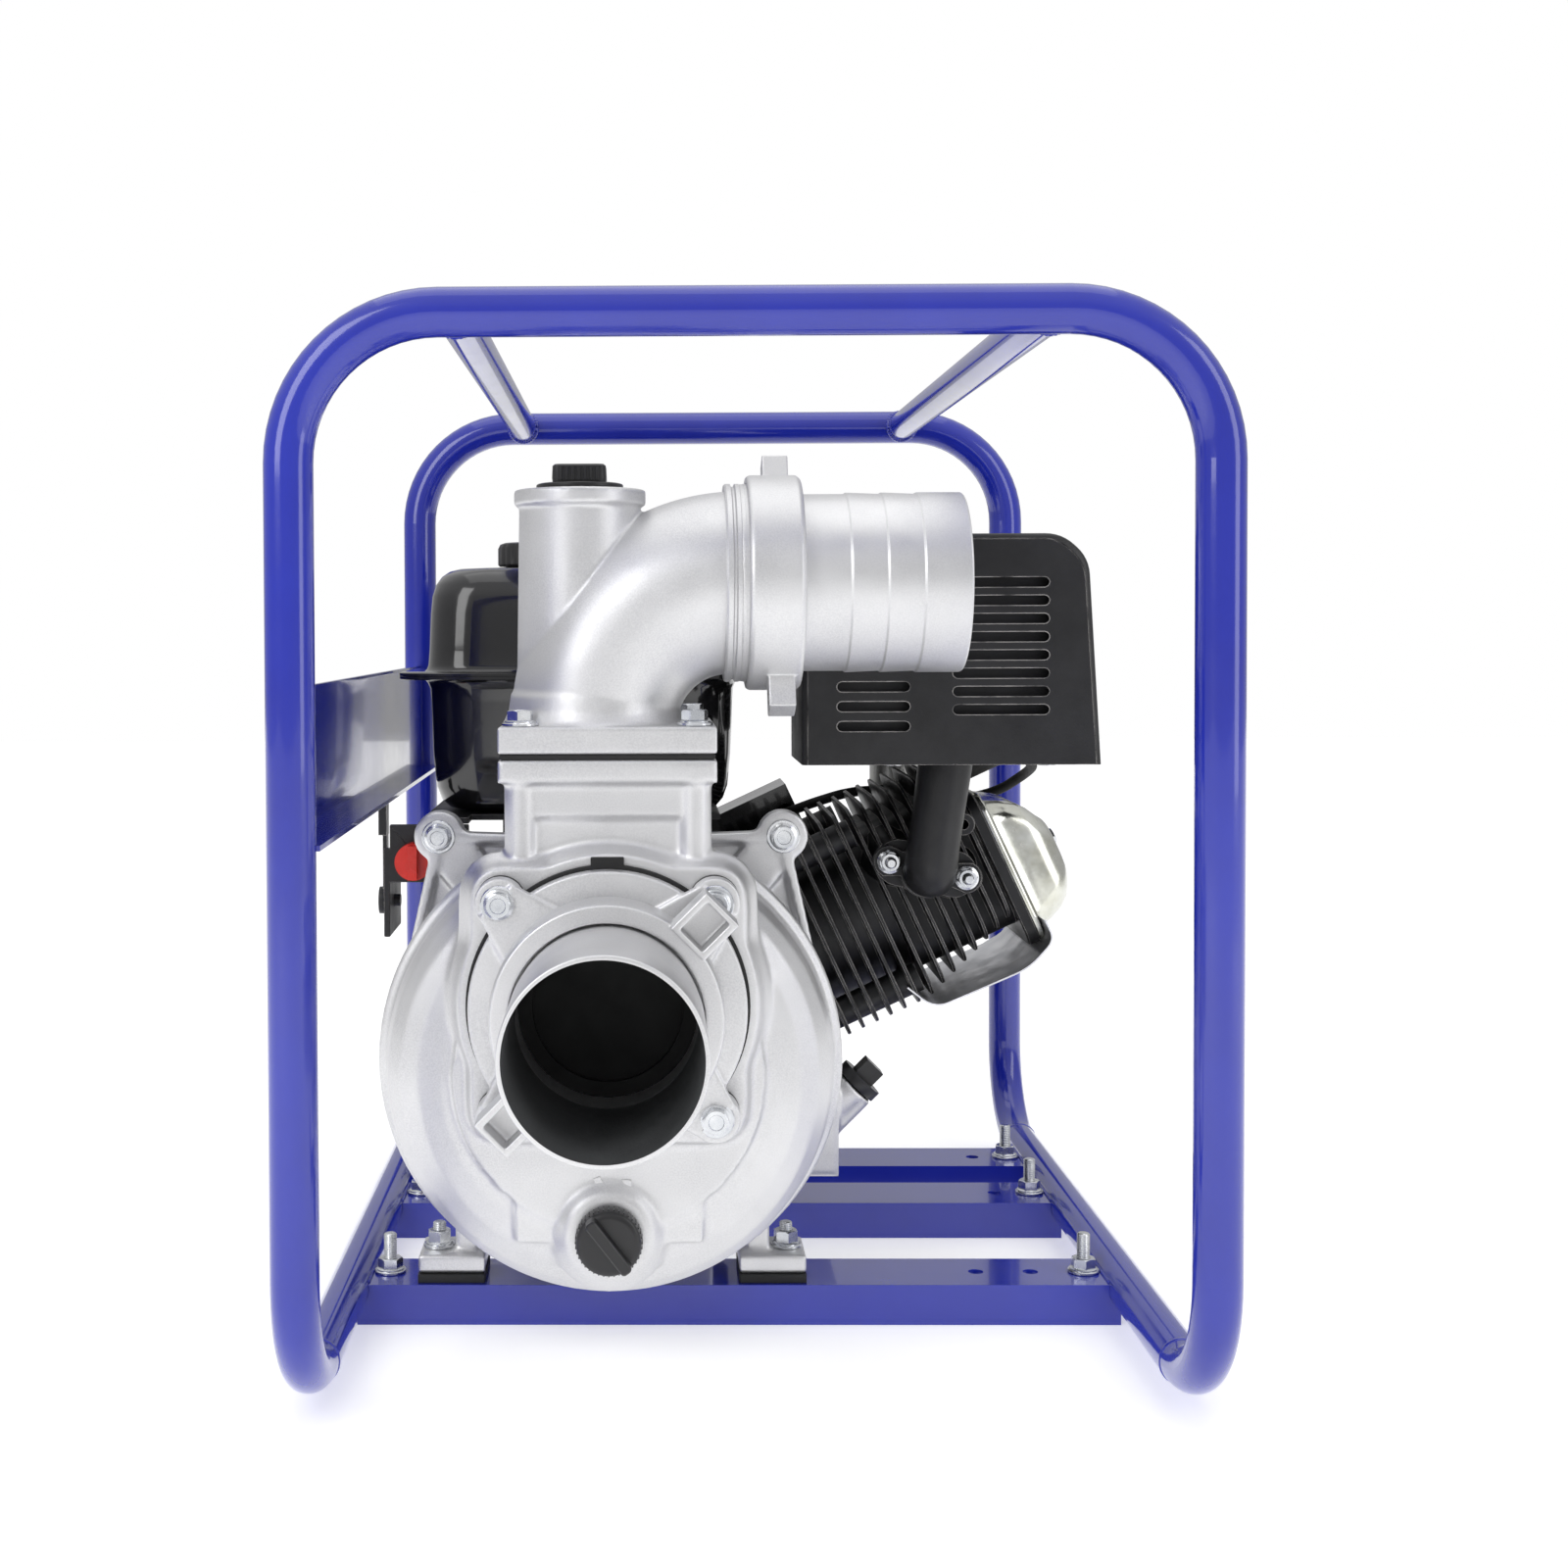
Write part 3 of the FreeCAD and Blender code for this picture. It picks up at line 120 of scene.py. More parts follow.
def make_casting_skin():
    """The pebbled skin of a blasted casting, with soft cloudy blotches."""
    effect, entry, leave, link = new_effect(
        "casting skin",
        {"Grain Scale": 900.0, "Grain Depth": 0.12, "Blotch Scale": 22.0},
        {"Grain": "NodeSocketFloat", "Blotch": "NodeSocketFloat", "Normal": "NodeSocketVector"},
    )
    grain = noise_node(effect, entry.outputs["Grain Scale"], 3.0, 0.6)
    blotch = noise_node(effect, entry.outputs["Blotch Scale"], 5.0, 0.6)
    bump = effect.nodes.new("ShaderNodeBump")
    bump.inputs["Distance"].default_value = 0.0004
    link(entry.outputs["Grain Depth"], bump.inputs["Strength"])
    link(grain.outputs["Fac"], bump.inputs["Height"])
    link(ramp_node(effect, grain.outputs["Fac"], 0.35, 0.65), leave.inputs["Grain"])
    link(ramp_node(effect, blotch.outputs["Fac"], 0.35, 0.68), leave.inputs["Blotch"])
    link(bump.outputs["Normal"], leave.inputs["Normal"])
    return effect


def make_edge_wear_and_highlight():
    """A mask along sharp edges for worn metal and a painted edge highlight, broken up where it is
    uneven.
    """
    effect, entry, leave, link = new_effect(
        "edge wear and painted highlight",
        {"Width": 0.0008, "Break Up": 160.0},
        {"Mask": "NodeSocketFloat"},
    )
    rounded = effect.nodes.new("ShaderNodeBevel")
    rounded.samples = 4
    link(entry.outputs["Width"], rounded.inputs["Radius"])
    geometry = effect.nodes.new("ShaderNodeNewGeometry")
    compare = effect.nodes.new("ShaderNodeVectorMath")
    compare.operation = "DOT_PRODUCT"
    link(rounded.outputs["Normal"], compare.inputs[0])
    link(geometry.outputs["Normal"], compare.inputs[1])
    edge = ramp_node(effect, compare.outputs["Value"], 0.985, 0.86)
    patchy = ramp_node(effect, noise_node(effect, entry.outputs["Break Up"]).outputs["Fac"], 0.3, 0.55)
    link(product(effect, edge, patchy), leave.inputs["Mask"])
    return effect


def make_handling():
    """Smears and fine scuffs that vary a finish's roughness."""
    effect, entry, leave, link = new_effect(
        "handling marks",
        {"Smear Scale": 9.0, "Low": 0.2, "High": 0.35},
        {"Roughness": "NodeSocketFloat"},
    )
    smear = noise_node(effect, entry.outputs["Smear Scale"], 6.0, 0.65)
    spread = effect.nodes.new("ShaderNodeMapRange")
    spread.inputs["From Min"].default_value = 0.35
    spread.inputs["From Max"].default_value = 0.65
    link(smear.outputs["Fac"], spread.inputs["Value"])
    link(entry.outputs["Low"], spread.inputs["To Min"])
    link(entry.outputs["High"], spread.inputs["To Max"])
    link(spread.outputs["Result"], leave.inputs["Roughness"])
    return effect


def make_settled_dust():
    """Fine dust on faces that look up."""
    effect, entry, leave, link = new_effect(
        "settled dust", {"Amount": 0.3}, {"Mask": "NodeSocketFloat"})
    geometry = effect.nodes.new("ShaderNodeNewGeometry")
    split = effect.nodes.new("ShaderNodeSeparateXYZ")
    link(geometry.outputs["Normal"], split.inputs["Vector"])
    upward = ramp_node(effect, split.outputs["Z"], 0.55, 1.0)
    patchy = ramp_node(effect, noise_node(effect, 60.0, 6.0, 0.7).outputs["Fac"], 0.4, 0.7)
    cover = product(effect, upward, patchy)
    link(product(effect, cover, entry.outputs["Amount"]), leave.inputs["Mask"])
    return effect


CASTING_SKIN = make_casting_skin()
# edge mask for worn metal and a painted edge highlight
EDGE_WEAR_AND_HIGHLIGHT = make_edge_wear_and_highlight()
HANDLING = make_handling()
SETTLED_DUST = make_settled_dust()


class Finish:
    """A material with one Principled shader and effects feeding it."""

    def __init__(self, name, metallic=0.0, roughness=0.5, **constants):
        self.material = bpy.data.materials.new(name)
        self.material.use_nodes = True
        self.tree = self.material.node_tree
        self.shader = self.tree.nodes["Principled BSDF"]
        self.shader.inputs["Metallic"].default_value = metallic
        self.shader.inputs["Roughness"].default_value = roughness
        for label, value in constants.items():
            self.shader.inputs[label.replace("_", " ")].default_value = value

    def effect(self, group, **values):
        node = self.tree.nodes.new("ShaderNodeGroup")
        node.node_tree = group
        for label, value in values.items():
            node.inputs[label.replace("_", " ")].default_value = value
        return node.outputs

    def link(self, output, label):
        self.tree.links.new(output, self.shader.inputs[label])

    def blend(self, mask, first, second):
        """Mix two colours by a mask; each is a tuple or another output."""
        node = self.tree.nodes.new("ShaderNodeMix")
        node.data_type = "RGBA"
        self.tree.links.new(mask, node.inputs["Factor"])
        for socket, colour in ((node.inputs[6], first), (node.inputs[7], second)):
            if isinstance(colour, tuple):
                socket.default_value = (*colour, 1.0)
            else:
                self.tree.links.new(colour, socket)
        return node.outputs[2]

    def skin(self, grain, depth, blotch):
        """Lay the casting skin on the surface and return its masks."""
        skin = self.effect(CASTING_SKIN, Grain_Scale=grain, Grain_Depth=depth, Blotch_Scale=blotch)
        self.link(skin["Normal"], "Normal")
        return skin

    def handled(self, smear, low, high):
        """Vary the roughness between low and high and return the finished material."""
        marks = self.effect(HANDLING, Smear_Scale=smear, Low=low, High=high)
        self.link(marks["Roughness"], "Roughness")
        return self.material


# ---------------------------------------------------------------- finishes

def enamel(name, coat, grain, low_tone, high_tone, dust_amount, dust_tone, handling):
    """Gloss stove enamel with slight orange peel; coat is its base roughness, weight and roughness."""
    paint = Finish(name, 0.0, coat[0], Coat_Weight=coat[1], Coat_Roughness=coat[2])
    skin = paint.skin(*grain)
    dust = paint.effect(SETTLED_DUST, Amount=dust_amount)
    tone = paint.blend(skin["Blotch"], low_tone, high_tone)
    paint.link(paint.blend(dust["Mask"], tone, dust_tone), "Base Color")
    return paint.handled(*handling)


def cast_silver(name, light, dark, depth):
    """Fine shot-blasted casting."""
    metal = Finish(name, 0.85, 0.42)
    skin = metal.skin(1100.0, depth, 14.0)
    tone = metal.blend(skin["Blotch"], dark, light)
    metal.link(metal.blend(skin["Grain"], tone, light), "Base Color")
    return metal.handled(16.0, 0.36, 0.5)


def satin_black():
    """Heat-proof black with worn metal and a painted highlight showing on its edges."""
    paint = Finish("heat-proof black", 0.25, 0.42)
    skin = paint.skin(700.0, 0.25, 25.0)
    wear_and_highlight = paint.effect(EDGE_WEAR_AND_HIGHLIGHT, Width=0.0008, Break_Up=70.0)
    tone = paint.blend(skin["Blotch"], (0.012, 0.012, 0.013), (0.0228, 0.0228, 0.0247))
    # the light edge colour is partly worn metal and partly a painted highlight along the edges
    paint.link(paint.blend(wear_and_highlight["Mask"], tone, (0.52, 0.50, 0.48)), "Base Color")
    return paint.handled(20.0, 0.34, 0.52)


def moulded(name, base, low, high):
    """Injection-moulded plastic with a fine spark-eroded texture."""
    plastic = Finish(name, 0.0, 0.4)
    skin = plastic.skin(1600.0, 0.12, 30.0)
    lighter = tuple(1.35 * part for part in base)
    plastic.link(plastic.blend(skin["Blotch"], base, lighter), "Base Color")
    return plastic.handled(30.0, low, high)


def zinc_plate(name, light, dark, low, high):
    """Bright zinc with a cloudy passivated bloom."""
    metal = Finish(name, 1.0, 0.25)
    skin = metal.skin(500.0, 0.06, 45.0)
    metal.link(metal.blend(skin["Blotch"], dark, light), "Base Color")
    return metal.handled(50.0, low, high)


FINISHES = {
    "blue_paint": enamel(
        "blue enamel", (0.2, 0.7, 0.05), (260.0, 0.05, 7.0), (0.010, 0.019, 0.32),
        (0.014, 0.027, 0.39), 0.02, (0.45, 0.46, 0.5), (12.0, 0.12, 0.22)),
    "cast_aluminium": cast_silver("blasted aluminium", (0.74, 0.74, 0.745), (0.62, 0.62, 0.63), 0.22),
    "zinc_steel": zinc_plate("zinc plate", (0.80, 0.81, 0.82), (0.55, 0.57, 0.60), 0.16, 0.34),
    "black_rubber": moulded("black rubber", (0.012, 0.012, 0.012), 0.6, 0.8),
    "inner_iron": cast_silver("grey iron", (0.30, 0.29, 0.28), (0.18, 0.17, 0.17), 0.4),
    "ground_steel": zinc_plate("ground steel", (0.66, 0.66, 0.66), (0.5, 0.5, 0.5), 0.2, 0.4),
    "black_metal": satin_black(),
    "black_paint": enamel(
        "gloss black enamel", (0.12, 0.6, 0.04), (240.0, 0.04, 9.0), (0.006, 0.006, 0.007),
        (0.012, 0.012, 0.013), 0.08, (0.3, 0.3, 0.3), (14.0, 0.08, 0.2)),
    "black_plastic": moulded("black nylon", (0.014, 0.014, 0.015), 0.28, 0.42),
    "red_plastic": moulded("red nylon", (0.55, 0.022, 0.012), 0.2, 0.32),
    "carb_alloy": cast_silver("die-cast zinc", (0.62, 0.62, 0.6), (0.5, 0.5, 0.48), 0.15),
    "plug_steel": zinc_plate("plug steel", (0.75, 0.75, 0.74), (0.6, 0.6, 0.58), 0.15, 0.3),
}
GALVANISED = zinc_plate("galvanised sheet", (0.90, 0.90, 0.92), (0.74, 0.75, 0.78), 0.30, 0.46)
# painted shade: a dark finish for the unlit inside of the hose tails
BORE_PAINTED_SHADE = cast_silver("bore painted shade", (0.34, 0.35, 0.36), (0.22, 0.23, 0.24), 0.3)
ROCKER_ZINC = zinc_plate("clear passivated steel", (0.78, 0.79, 0.75), (0.60, 0.60, 0.52), 0.14, 0.28)


def dress(piece, material):
    """Give a piece one material on every face."""
    piece.data.materials.clear()
    piece.data.materials.append(material)
    for face in piece.data.polygons:
        face.material_index = 0


# ---------------------------------------------------------------- mesh helpers

PUMP_X = -0.075
SHAFT = Vector((PUMP_X, 0, 0.150))
INLET = Vector((PUMP_X, 0, 0.210))
TILT = math.radians(25)
CYLINDER_Y = 0.089
OUTLET_Y, OUTLET_Z = -0.131, 0.440
PRIMING_X = -0.091
FLANGE_BOLT = 0.0577
EAR_X, EAR_Z = 0.103, 0.290
EXHAUST_TURN = Matrix.Rotation(math.radians(-12), 4, "Z")
MEMBER_ROWS = (-0.067, 0.102, 0.195)
HOOPS = ((-0.271, 1), (0.322, -1))  # centre line, and the way inwards
RAIL_X, RAIL_Z = 0.2325, 0.0205
UPSIDE_DOWN = Matrix.Rotation(math.pi, 4, "X")
FASTENER_ANGLE = 0.45


def mm(*numbers):
    return Vector(numbers) * MM


def standing(axis, origin):
    """A local frame whose own Z runs along a world axis from origin."""
    turn = Vector((0, 0, 1)).rotation_difference(Vector(axis))
    return Matrix.Translation(origin) @ turn.to_matrix().to_4x4()


def forwards(origin):
    """A local frame whose Z runs towards the front of the pump."""
    return standing((0, -1, 0), origin)


def on_cylinder(u=0.0, y=CYLINDER_Y, w=0.0):
    """A local frame on the tilted cylinder: Z outwards along it, X square to it, Y along the shaft."""
    out = Vector((math.cos(TILT), 0, math.sin(TILT)))
    square = Vector((-math.sin(TILT), 0, math.cos(TILT)))
    spot = SHAFT + out * u + square * w + Vector((0, y, 0))
    along = Vector((0, -1, 0))
    turn = Matrix((square, along, out)).transposed()
    return Matrix.Translation(spot) @ turn.to_4x4()


def piece(name, bm, body, node=None, slot=None, material=None, smooth_angle=0.6, stands_for=()):
    """Turn a bmesh into a piece that rides on a body and takes its finish."""
    bmesh.ops.recalc_face_normals(bm, faces=bm.faces)
    mesh = bpy.data.meshes.new(name)
    bm.to_mesh(mesh)
    bm.free()
    thing = placed(name, mesh)
    return settle(thing, body, node, slot, material, smooth_angle, stands_for)


def settle(thing, body, node=None, slot=None, material=None, smooth_angle=0.6, stands_for=()):
    """Smooth a piece, dress it, and tell the frame what it rides on and replaces."""
    slot = slot or SLOTS[node]
    dress(thing, material or FINISHES[slot])
    for face in thing.data.polygons:
        face.use_smooth = True
    if smooth_angle:
        thing.data.set_sharp_from_angle(angle=smooth_angle)
    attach(thing, body)
    if stands_for:
        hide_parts(*stands_for)
    return thing


def turns(count):
    """The angles of count equal steps round a circle."""
    return [2 * math.pi * step / count for step in range(count)]


def polar(radius, angle):
    return radius * math.cos(angle), radius * math.sin(angle)


def circle(radius, height, count):
    """A ring of points about the local Z."""
    return [(*polar(radius, angle), height) for angle in turns(count)]


def loft(bm, rings, matrix=Matrix(), wrap=False):
    """Skin a list of rings of equal count, capped at both ends or joined last to first."""
    loops = [[bm.verts.new(matrix @ Vector(point)) for point in ring] for ring in rings]
    count = len(loops[0])
    pairs = list(zip(loops, loops[1:]))
    if wrap:
        pairs.append((loops[-1], loops[0]))
    for low, high in pairs:
        for index in range(count):
            ahead = (index + 1) % count
            bm.faces.new((low[index], low[ahead], high[ahead], high[index]))
    if not wrap:
        bm.faces.new(loops[0][::-1])
        bm.faces.new(loops[-1])


def lathe(bm, profile, matrix=Matrix(), segments=96, closed=True):
    """Turn (radius, height) corners about the local Z, all round."""
    loft(bm, [circle(radius, height, segments) for radius, height in profile], matrix, closed)


def softened(profile, radius, steps=3):
    """Round every corner of an open (radius, height) profile."""
    rounded = [profile[0]]
    for before, here, after in zip(profile, profile[1:], profile[2:]):
        back = Vector(before) - Vector(here)
        ahead = Vector(after) - Vector(here)
        trim = min(radius, 0.45 * back.length, 0.45 * ahead.length)
        start = Vector(here) + back.normalized() * trim
        end = Vector(here) + ahead.normalized() * trim
        for step in range(steps + 1):
            part = step / steps
            rounded.append(tuple(
                start * (1 - part) ** 2 + Vector(here) * 2 * part * (1 - part) + end * part ** 2))
    rounded.append(profile[-1])
    return rounded


def rounded_rect(width, depth, radius, height, centre=(0, 0), steps=6):
    """A ring of points round a rectangle with rounded corners."""
    points = []
    for sx, sy, start in ((1, 1, 0), (-1, 1, 90), (-1, -1, 180), (1, -1, 270)):
        corner_x = centre[0] + sx * (width / 2 - radius)
        corner_y = centre[1] + sy * (depth / 2 - radius)
        for step in range(steps + 1):
            x, y = polar(radius, math.radians(start + 90 * step / steps))
            points.append((corner_x + x, corner_y + y, height))
    return points


def hex_head(bm, matrix, across, height, flange=0.0):
    """A hexagon bolt head with its corners turned off, standing on local Z; sizes in millimetres."""
    across, height, flange = across * MM, height * MM, flange * MM
    steps = 48
    turned_off = 0.475 * across
    rings = []
    collar = 1.3 * MM if flange else 0.0
    if flange:
        rings += [circle(radius, level, steps) for radius, level in (
            (flange, 0), (flange, 0.5 * collar), (flange - 1.2 * MM, collar))]
    base, shoulder = [], []
    for angle in turns(steps):
        inside = (angle + math.pi / 6) % (math.pi / 3) - math.pi / 6
        reach = across / 2 / math.cos(inside)
        drop = max(0.0, reach - turned_off) * 0.58
        direction = Vector((*polar(1, angle), 0))
        base.append(direction * reach + Vector((0, 0, collar)))
        shoulder.append(direction * reach + Vector((0, 0, height - drop)))
    rings += [base, shoulder]
    rings += [circle(radius, level, steps) for radius, level in (
        (turned_off, height), (0.33 * across, height), (0.3 * across, height - 0.5 * MM))]
    loft(bm, rings, matrix)


def flat_washer(bm, matrix, outer, thick, inner):
    edge = 0.25 * thick
    lathe(bm, [
        (inner, 0), (outer - edge, 0), (outer, edge), (outer, thick - edge),
        (outer - edge, thick), (inner, thick),
    ], matrix, 40)


def bolted(bm, matrix, turn, washer, tall, flange, across=13, thick=2, bore=4.3):
    """A head or nut turned on its washer, on a face that looks along local Z; sizes in millimetres."""
    flat_washer(bm, matrix, washer * MM, thick * MM, bore * MM)
    seat = matrix @ Matrix.Translation(mm(0, 0, thick)) @ Matrix.Rotation(turn, 4, "Z")
    hex_head(bm, seat, across, tall, flange)


def stud_end(bm, matrix, radius, start, end, pitch=1.25):
    """A threaded end with a chamfered tip; sizes in millimetres."""
    radius, start, end, pitch = (length * MM for length in (radius, start, end, pitch))
    profile = [(0.2 * MM, start)]
    level = start
    while level < end - pitch:
        profile += [(radius, level + 0.2 * pitch), (0.88 * radius, level + 0.7 * pitch)]
        level += pitch
    profile += [(radius * 0.85, end - 0.4 * MM), (radius * 0.7, end), (0.2 * MM, end)]
    lathe(bm, profile, matrix, 28, closed=False)


def plate_with_holes(bm, outline, holes, thick, matrix, edge=0.4 * MM):
    """A flat plate cut through with holes and softened all round its edges."""
    curve = bpy.data.curves.new("plate", "CURVE")
    curve.dimensions = "2D"
    curve.fill_mode = "BOTH"
    curve.extrude = thick / 2 - edge
    curve.bevel_depth = edge
    curve.bevel_resolution = 1
    curve.offset = -edge
    for ring in [outline] + holes:
        spline = curve.splines.new("POLY")
        spline.points.add(len(ring) - 1)
        for point, (x, y) in zip(spline.points, ring):
            point.co = (x, y, 0, 1)
        spline.use_cyclic_u = True
    holder = placed("plate", curve)
    ready = bpy.context.evaluated_depsgraph_get()
    mesh = bpy.data.meshes.new_from_object(holder.evaluated_get(ready))
    mesh.transform(matrix)
    bm.from_mesh(mesh)
    bpy.data.objects.remove(holder)
    bpy.data.curves.remove(curve)
    bpy.data.meshes.remove(mesh)


def stand_in(name, bm, node, **look):
    """A piece drawn in place of one node, on that node's body."""
    return piece(name, bm, body_of_node(node), node, stands_for=(node,), **look)


def cast_copy(name, node, voxel, passes, extra=None):
    """A node's shape with softened edges and fillets, as a casting comes from its mould."""
    bm = bmesh.new()
    bm.from_mesh(frame["nodes"][node].data)
    bmesh.ops.remove_doubles(bm, verts=bm.verts, dist=1e-6)
    if extra:
        extra(bm)
    mesh = bpy.data.meshes.new(name)
    bm.to_mesh(mesh)
    bm.free()
    rough = placed(name + "_rough", mesh)
    remesh = rough.modifiers.new("voxels", "REMESH")
    remesh.mode = "VOXEL"
    remesh.voxel_size = voxel * MM
    even = rough.modifiers.new("fillets", "SMOOTH")
    even.factor = 0.5
    even.iterations = passes
    ready = bpy.context.evaluated_depsgraph_get()
    formed = bpy.data.meshes.new_from_object(rough.evaluated_get(ready))
    formed.name = name
    bpy.data.objects.remove(rough)
    thing = placed(name, formed)
    settle(thing, body_of_node(node), node, smooth_angle=0, stands_for=(node,))


def ease_edges(node, width):
    """Round a CAD node's hard edges without touching its mesh."""
    thing = frame["nodes"][node]
    weld = thing.modifiers.new("weld", "WELD")
    weld.merge_threshold = 1e-5
    edge = thing.modifiers.new("eased", "BEVEL")
    edge.width = width * MM
    edge.segments = 2
    edge.limit_method = "ANGLE"
    edge.angle_limit = math.radians(35)
    edge.harden_normals = True


# ---------------------------------------------------------------- pump castings

def eared_ring(radius, ear, height, count=144):
    """Round outline with four bolt ears, blended where they meet."""
    reach = FLANGE_BOLT * math.sqrt(2)
    raw = []
    for angle in turns(count):
        off = (angle + math.pi / 2) % (math.pi / 2) - math.pi / 4
        side = reach * math.sin(off)
        hit = reach * math.cos(off) + math.sqrt(ear ** 2 - side ** 2) if abs(side) < ear else 0
        raw.append(max(radius, hit))
    points = []
    for step, angle in enumerate(turns(count)):
        near = [raw[(step + shift) % count] for shift in (-3, -2, -1, 0, 1, 2, 3)]
        distance = sum(near) / len(near)
        points.append((*polar(distance, angle), height))
    return points


def casing_details(bm):
    """Raised pad that follows the flange, shoulder rings and the drain boss."""
    pad = forwards(INLET + mm(0, -170, 0))
    rings = [
        eared_ring(0.0525, 0.001, 0.0), eared_ring(0.089, 0.026, 0.0),
        eared_ring(0.089, 0.026, 0.0060), eared_ring(0.0865, 0.0235, 0.0085),
        eared_ring(0.0845, 0.0215, 0.0130), eared_ring(0.0830, 0.0200, 0.0195),
        eared_ring(0.0818, 0.0188, 0.0222), eared_ring(0.0525, 0.001, 0.0222),
    ]
    loft(bm, rings, pad, wrap=True)
    drain = forwards(Vector((PUMP_X, -0.174, 0.081)))
    lathe(bm, [(0.012, 0), (0.034, 0), (0.030, 0.006), (0.0245, 0.0112), (0.0215, 0.0122),
               (0.012, 0.0122)], drain, 48)


cast_copy("casing", "pump_casing", 1.5, 7, casing_details)

arrow = bmesh.new()
arrow_frame = forwards(Vector((PUMP_X + 0.003, -0.1797, 0.1165)))
sweep = [math.radians(200 + 12 * step) for step in range(10)]
inner = [polar(0.0085, angle) for angle in sweep]
outer = [polar(0.0125, angle) for angle in sweep]
head = [polar(0.0058, sweep[-1]), polar(0.0105, sweep[-1] + 0.42), polar(0.0152, sweep[-1])]
plate_with_holes(arrow, inner + head + outer[::-1], [], 2.2 * MM, arrow_frame, 0.3 * MM)
piece("rotation_arrow", arrow, "pump_set", "pump_casing")


def bracket_details(bm):
    """Ribbed triangular arms between the ring and the upper ears."""
    for side in (-1, 1):
        ear = Vector((PUMP_X + side * EAR_X, 0, EAR_Z))
        inner_end = Vector((PUMP_X + side * 0.040, 0, 0.288))
        outer_end = Vector((PUMP_X + side * 0.122, 0, 0.205))
        for low in (inner_end, outer_end):
            run = ear - low
            across = Vector((-run.z, 0, run.x)).normalized() * 0.003
            ends = [low - across, low + across, ear + across, ear - across]
            loft(bm, [[(p.x, y, p.z) for p in ends] for y in (-0.080, -0.066)])
        web = [inner_end, ear, outer_end, Vector((PUMP_X + side * 0.06, 0, 0.22))]
        loft(bm, [[(p.x, y, p.z) for p in web] for y in (-0.0745, -0.0665)])


cast_copy("bracket", "pump_bracket", 1.7, 5, bracket_details)


def flange_details(bm):
    """Raised webs that run from the bolt ears to the collar."""
    face = forwards(INLET + mm(0, -204, 0))
    for quarter in range(4):
        turn = face @ Matrix.Rotation(math.radians(45 + 90 * quarter), 4, "Z")
        web = [(0.055, -0.021), (0.084, -0.0125), (0.084, 0.0125), (0.055, 0.021)]
        loft(bm, [[(x, y, level) for x, y in web] for level in (0.0, 0.0075)], turn)


cast_copy("flange", "suction_flange", 0.95, 4, flange_details)
cast_copy("suction_ring_casting", "suction_coupling_ring", 0.75, 3)
cast_copy("outlet_nut_casting", "outlet_coupling_nut", 0.75, 3)


def elbow_details(bm):
    """Fillets where the bend and the neck rise from the flange."""
    base = Vector((-0.083, OUTLET_Y, 0.359))
    lathe(bm, [(0.044, 0), (0.0535, 0), (0.0515, 0.0035), (0.049, 0.009), (0.0478, 0.018),
               (0.044, 0.024)], Matrix.Translation(base), 64)
    neck = Vector((PRIMING_X, OUTLET_Y, 0.359))
    lathe(bm, [(0.030, 0), (0.043, 0), (0.0395, 0.0035), (0.0375, 0.010), (0.036, 0.024),
               (0.030, 0.030)], Matrix.Translation(neck), 64)


cast_copy("elbow", "discharge_elbow", 1.2, 4, elbow_details)

threads = bmesh.new()
lathe(threads, [
    (0.050, -0.0095), (0.0555, -0.0095), (0.0562, -0.0085), (0.0562, -0.006), (0.0545, -0.0052),
    (0.0545, -0.0042), (0.0562, -0.0034), (0.0562, -0.0012), (0.0545, -0.0004),
    (0.0545, 0.0006), (0.0562, 0.0014), (0.0562, 0.0029), (0.050, 0.0029),
], standing((1, 0, 0), Vector((0.0, OUTLET_Y, OUTLET_Z))), 128)
piece("outlet_threads", threads, "pump_set", "discharge_elbow")

cast_copy("crankcase_casting", "crankcase", 2.0, 5)


def cover_details(bm):
    """Stiffening ribs across the cover's face."""
    for angle in range(0, 360, 45):
        out = Vector((math.cos(math.radians(angle)), 0, math.sin(math.radians(angle))))
        across = Vector((-out.z, 0, out.x)) * 0.003
        low, high = SHAFT + out * 0.030, SHAFT + out * 0.098
        ends = [low - across, low + across, high + across, high - across]
        loft(bm, [[(p.x, y, p.z) for p in ends] for y in (-0.0125, -0.006)])


cast_copy("cover_casting", "crankcase_cover", 2.0, 5, cover_details)


# ---------------------------------------------------------------- engine top

FIN_HALF = 0.0675


def cooling_fin(bm, u, thick, corner, cut_back=0.0):
    """One cooling fin, square to the cylinder, with rounded corners and a thin rim."""
    rim = 0.55 * MM
    levels = ((0.0, rim), (0.35 * MM, 0.0), (thick - 0.35 * MM, 0.0), (thick, rim))
    loft(bm, [
        rounded_rect(2 * FIN_HALF - cut_back - 2 * inset, 2 * FIN_HALF - 2 * inset, corner, level,
                     (cut_back / 2, 0))
        for level, inset in levels
    ], on_cylinder(u))


barrel = bmesh.new()
lathe(barrel, [(0.0443, 0.086), (0.054, 0.086), (0.054, 0.198), (0.0443, 0.198)],
      on_cylinder(), 72)
for index in range(8):
    cooling_fin(barrel, 0.118 + 0.010 * index, 2.6 * MM, 0.016)
for w in (-0.052, 0.052):
    for y in (-0.052, 0.052):
        lathe(barrel, [(0.0002, 0.118), (0.0095, 0.118), (0.0095, 0.196), (0.0002, 0.196)],
              on_cylinder(0, CYLINDER_Y + y, w), 24)
stand_in("barrel_fins", barrel, "cylinder_barrel")

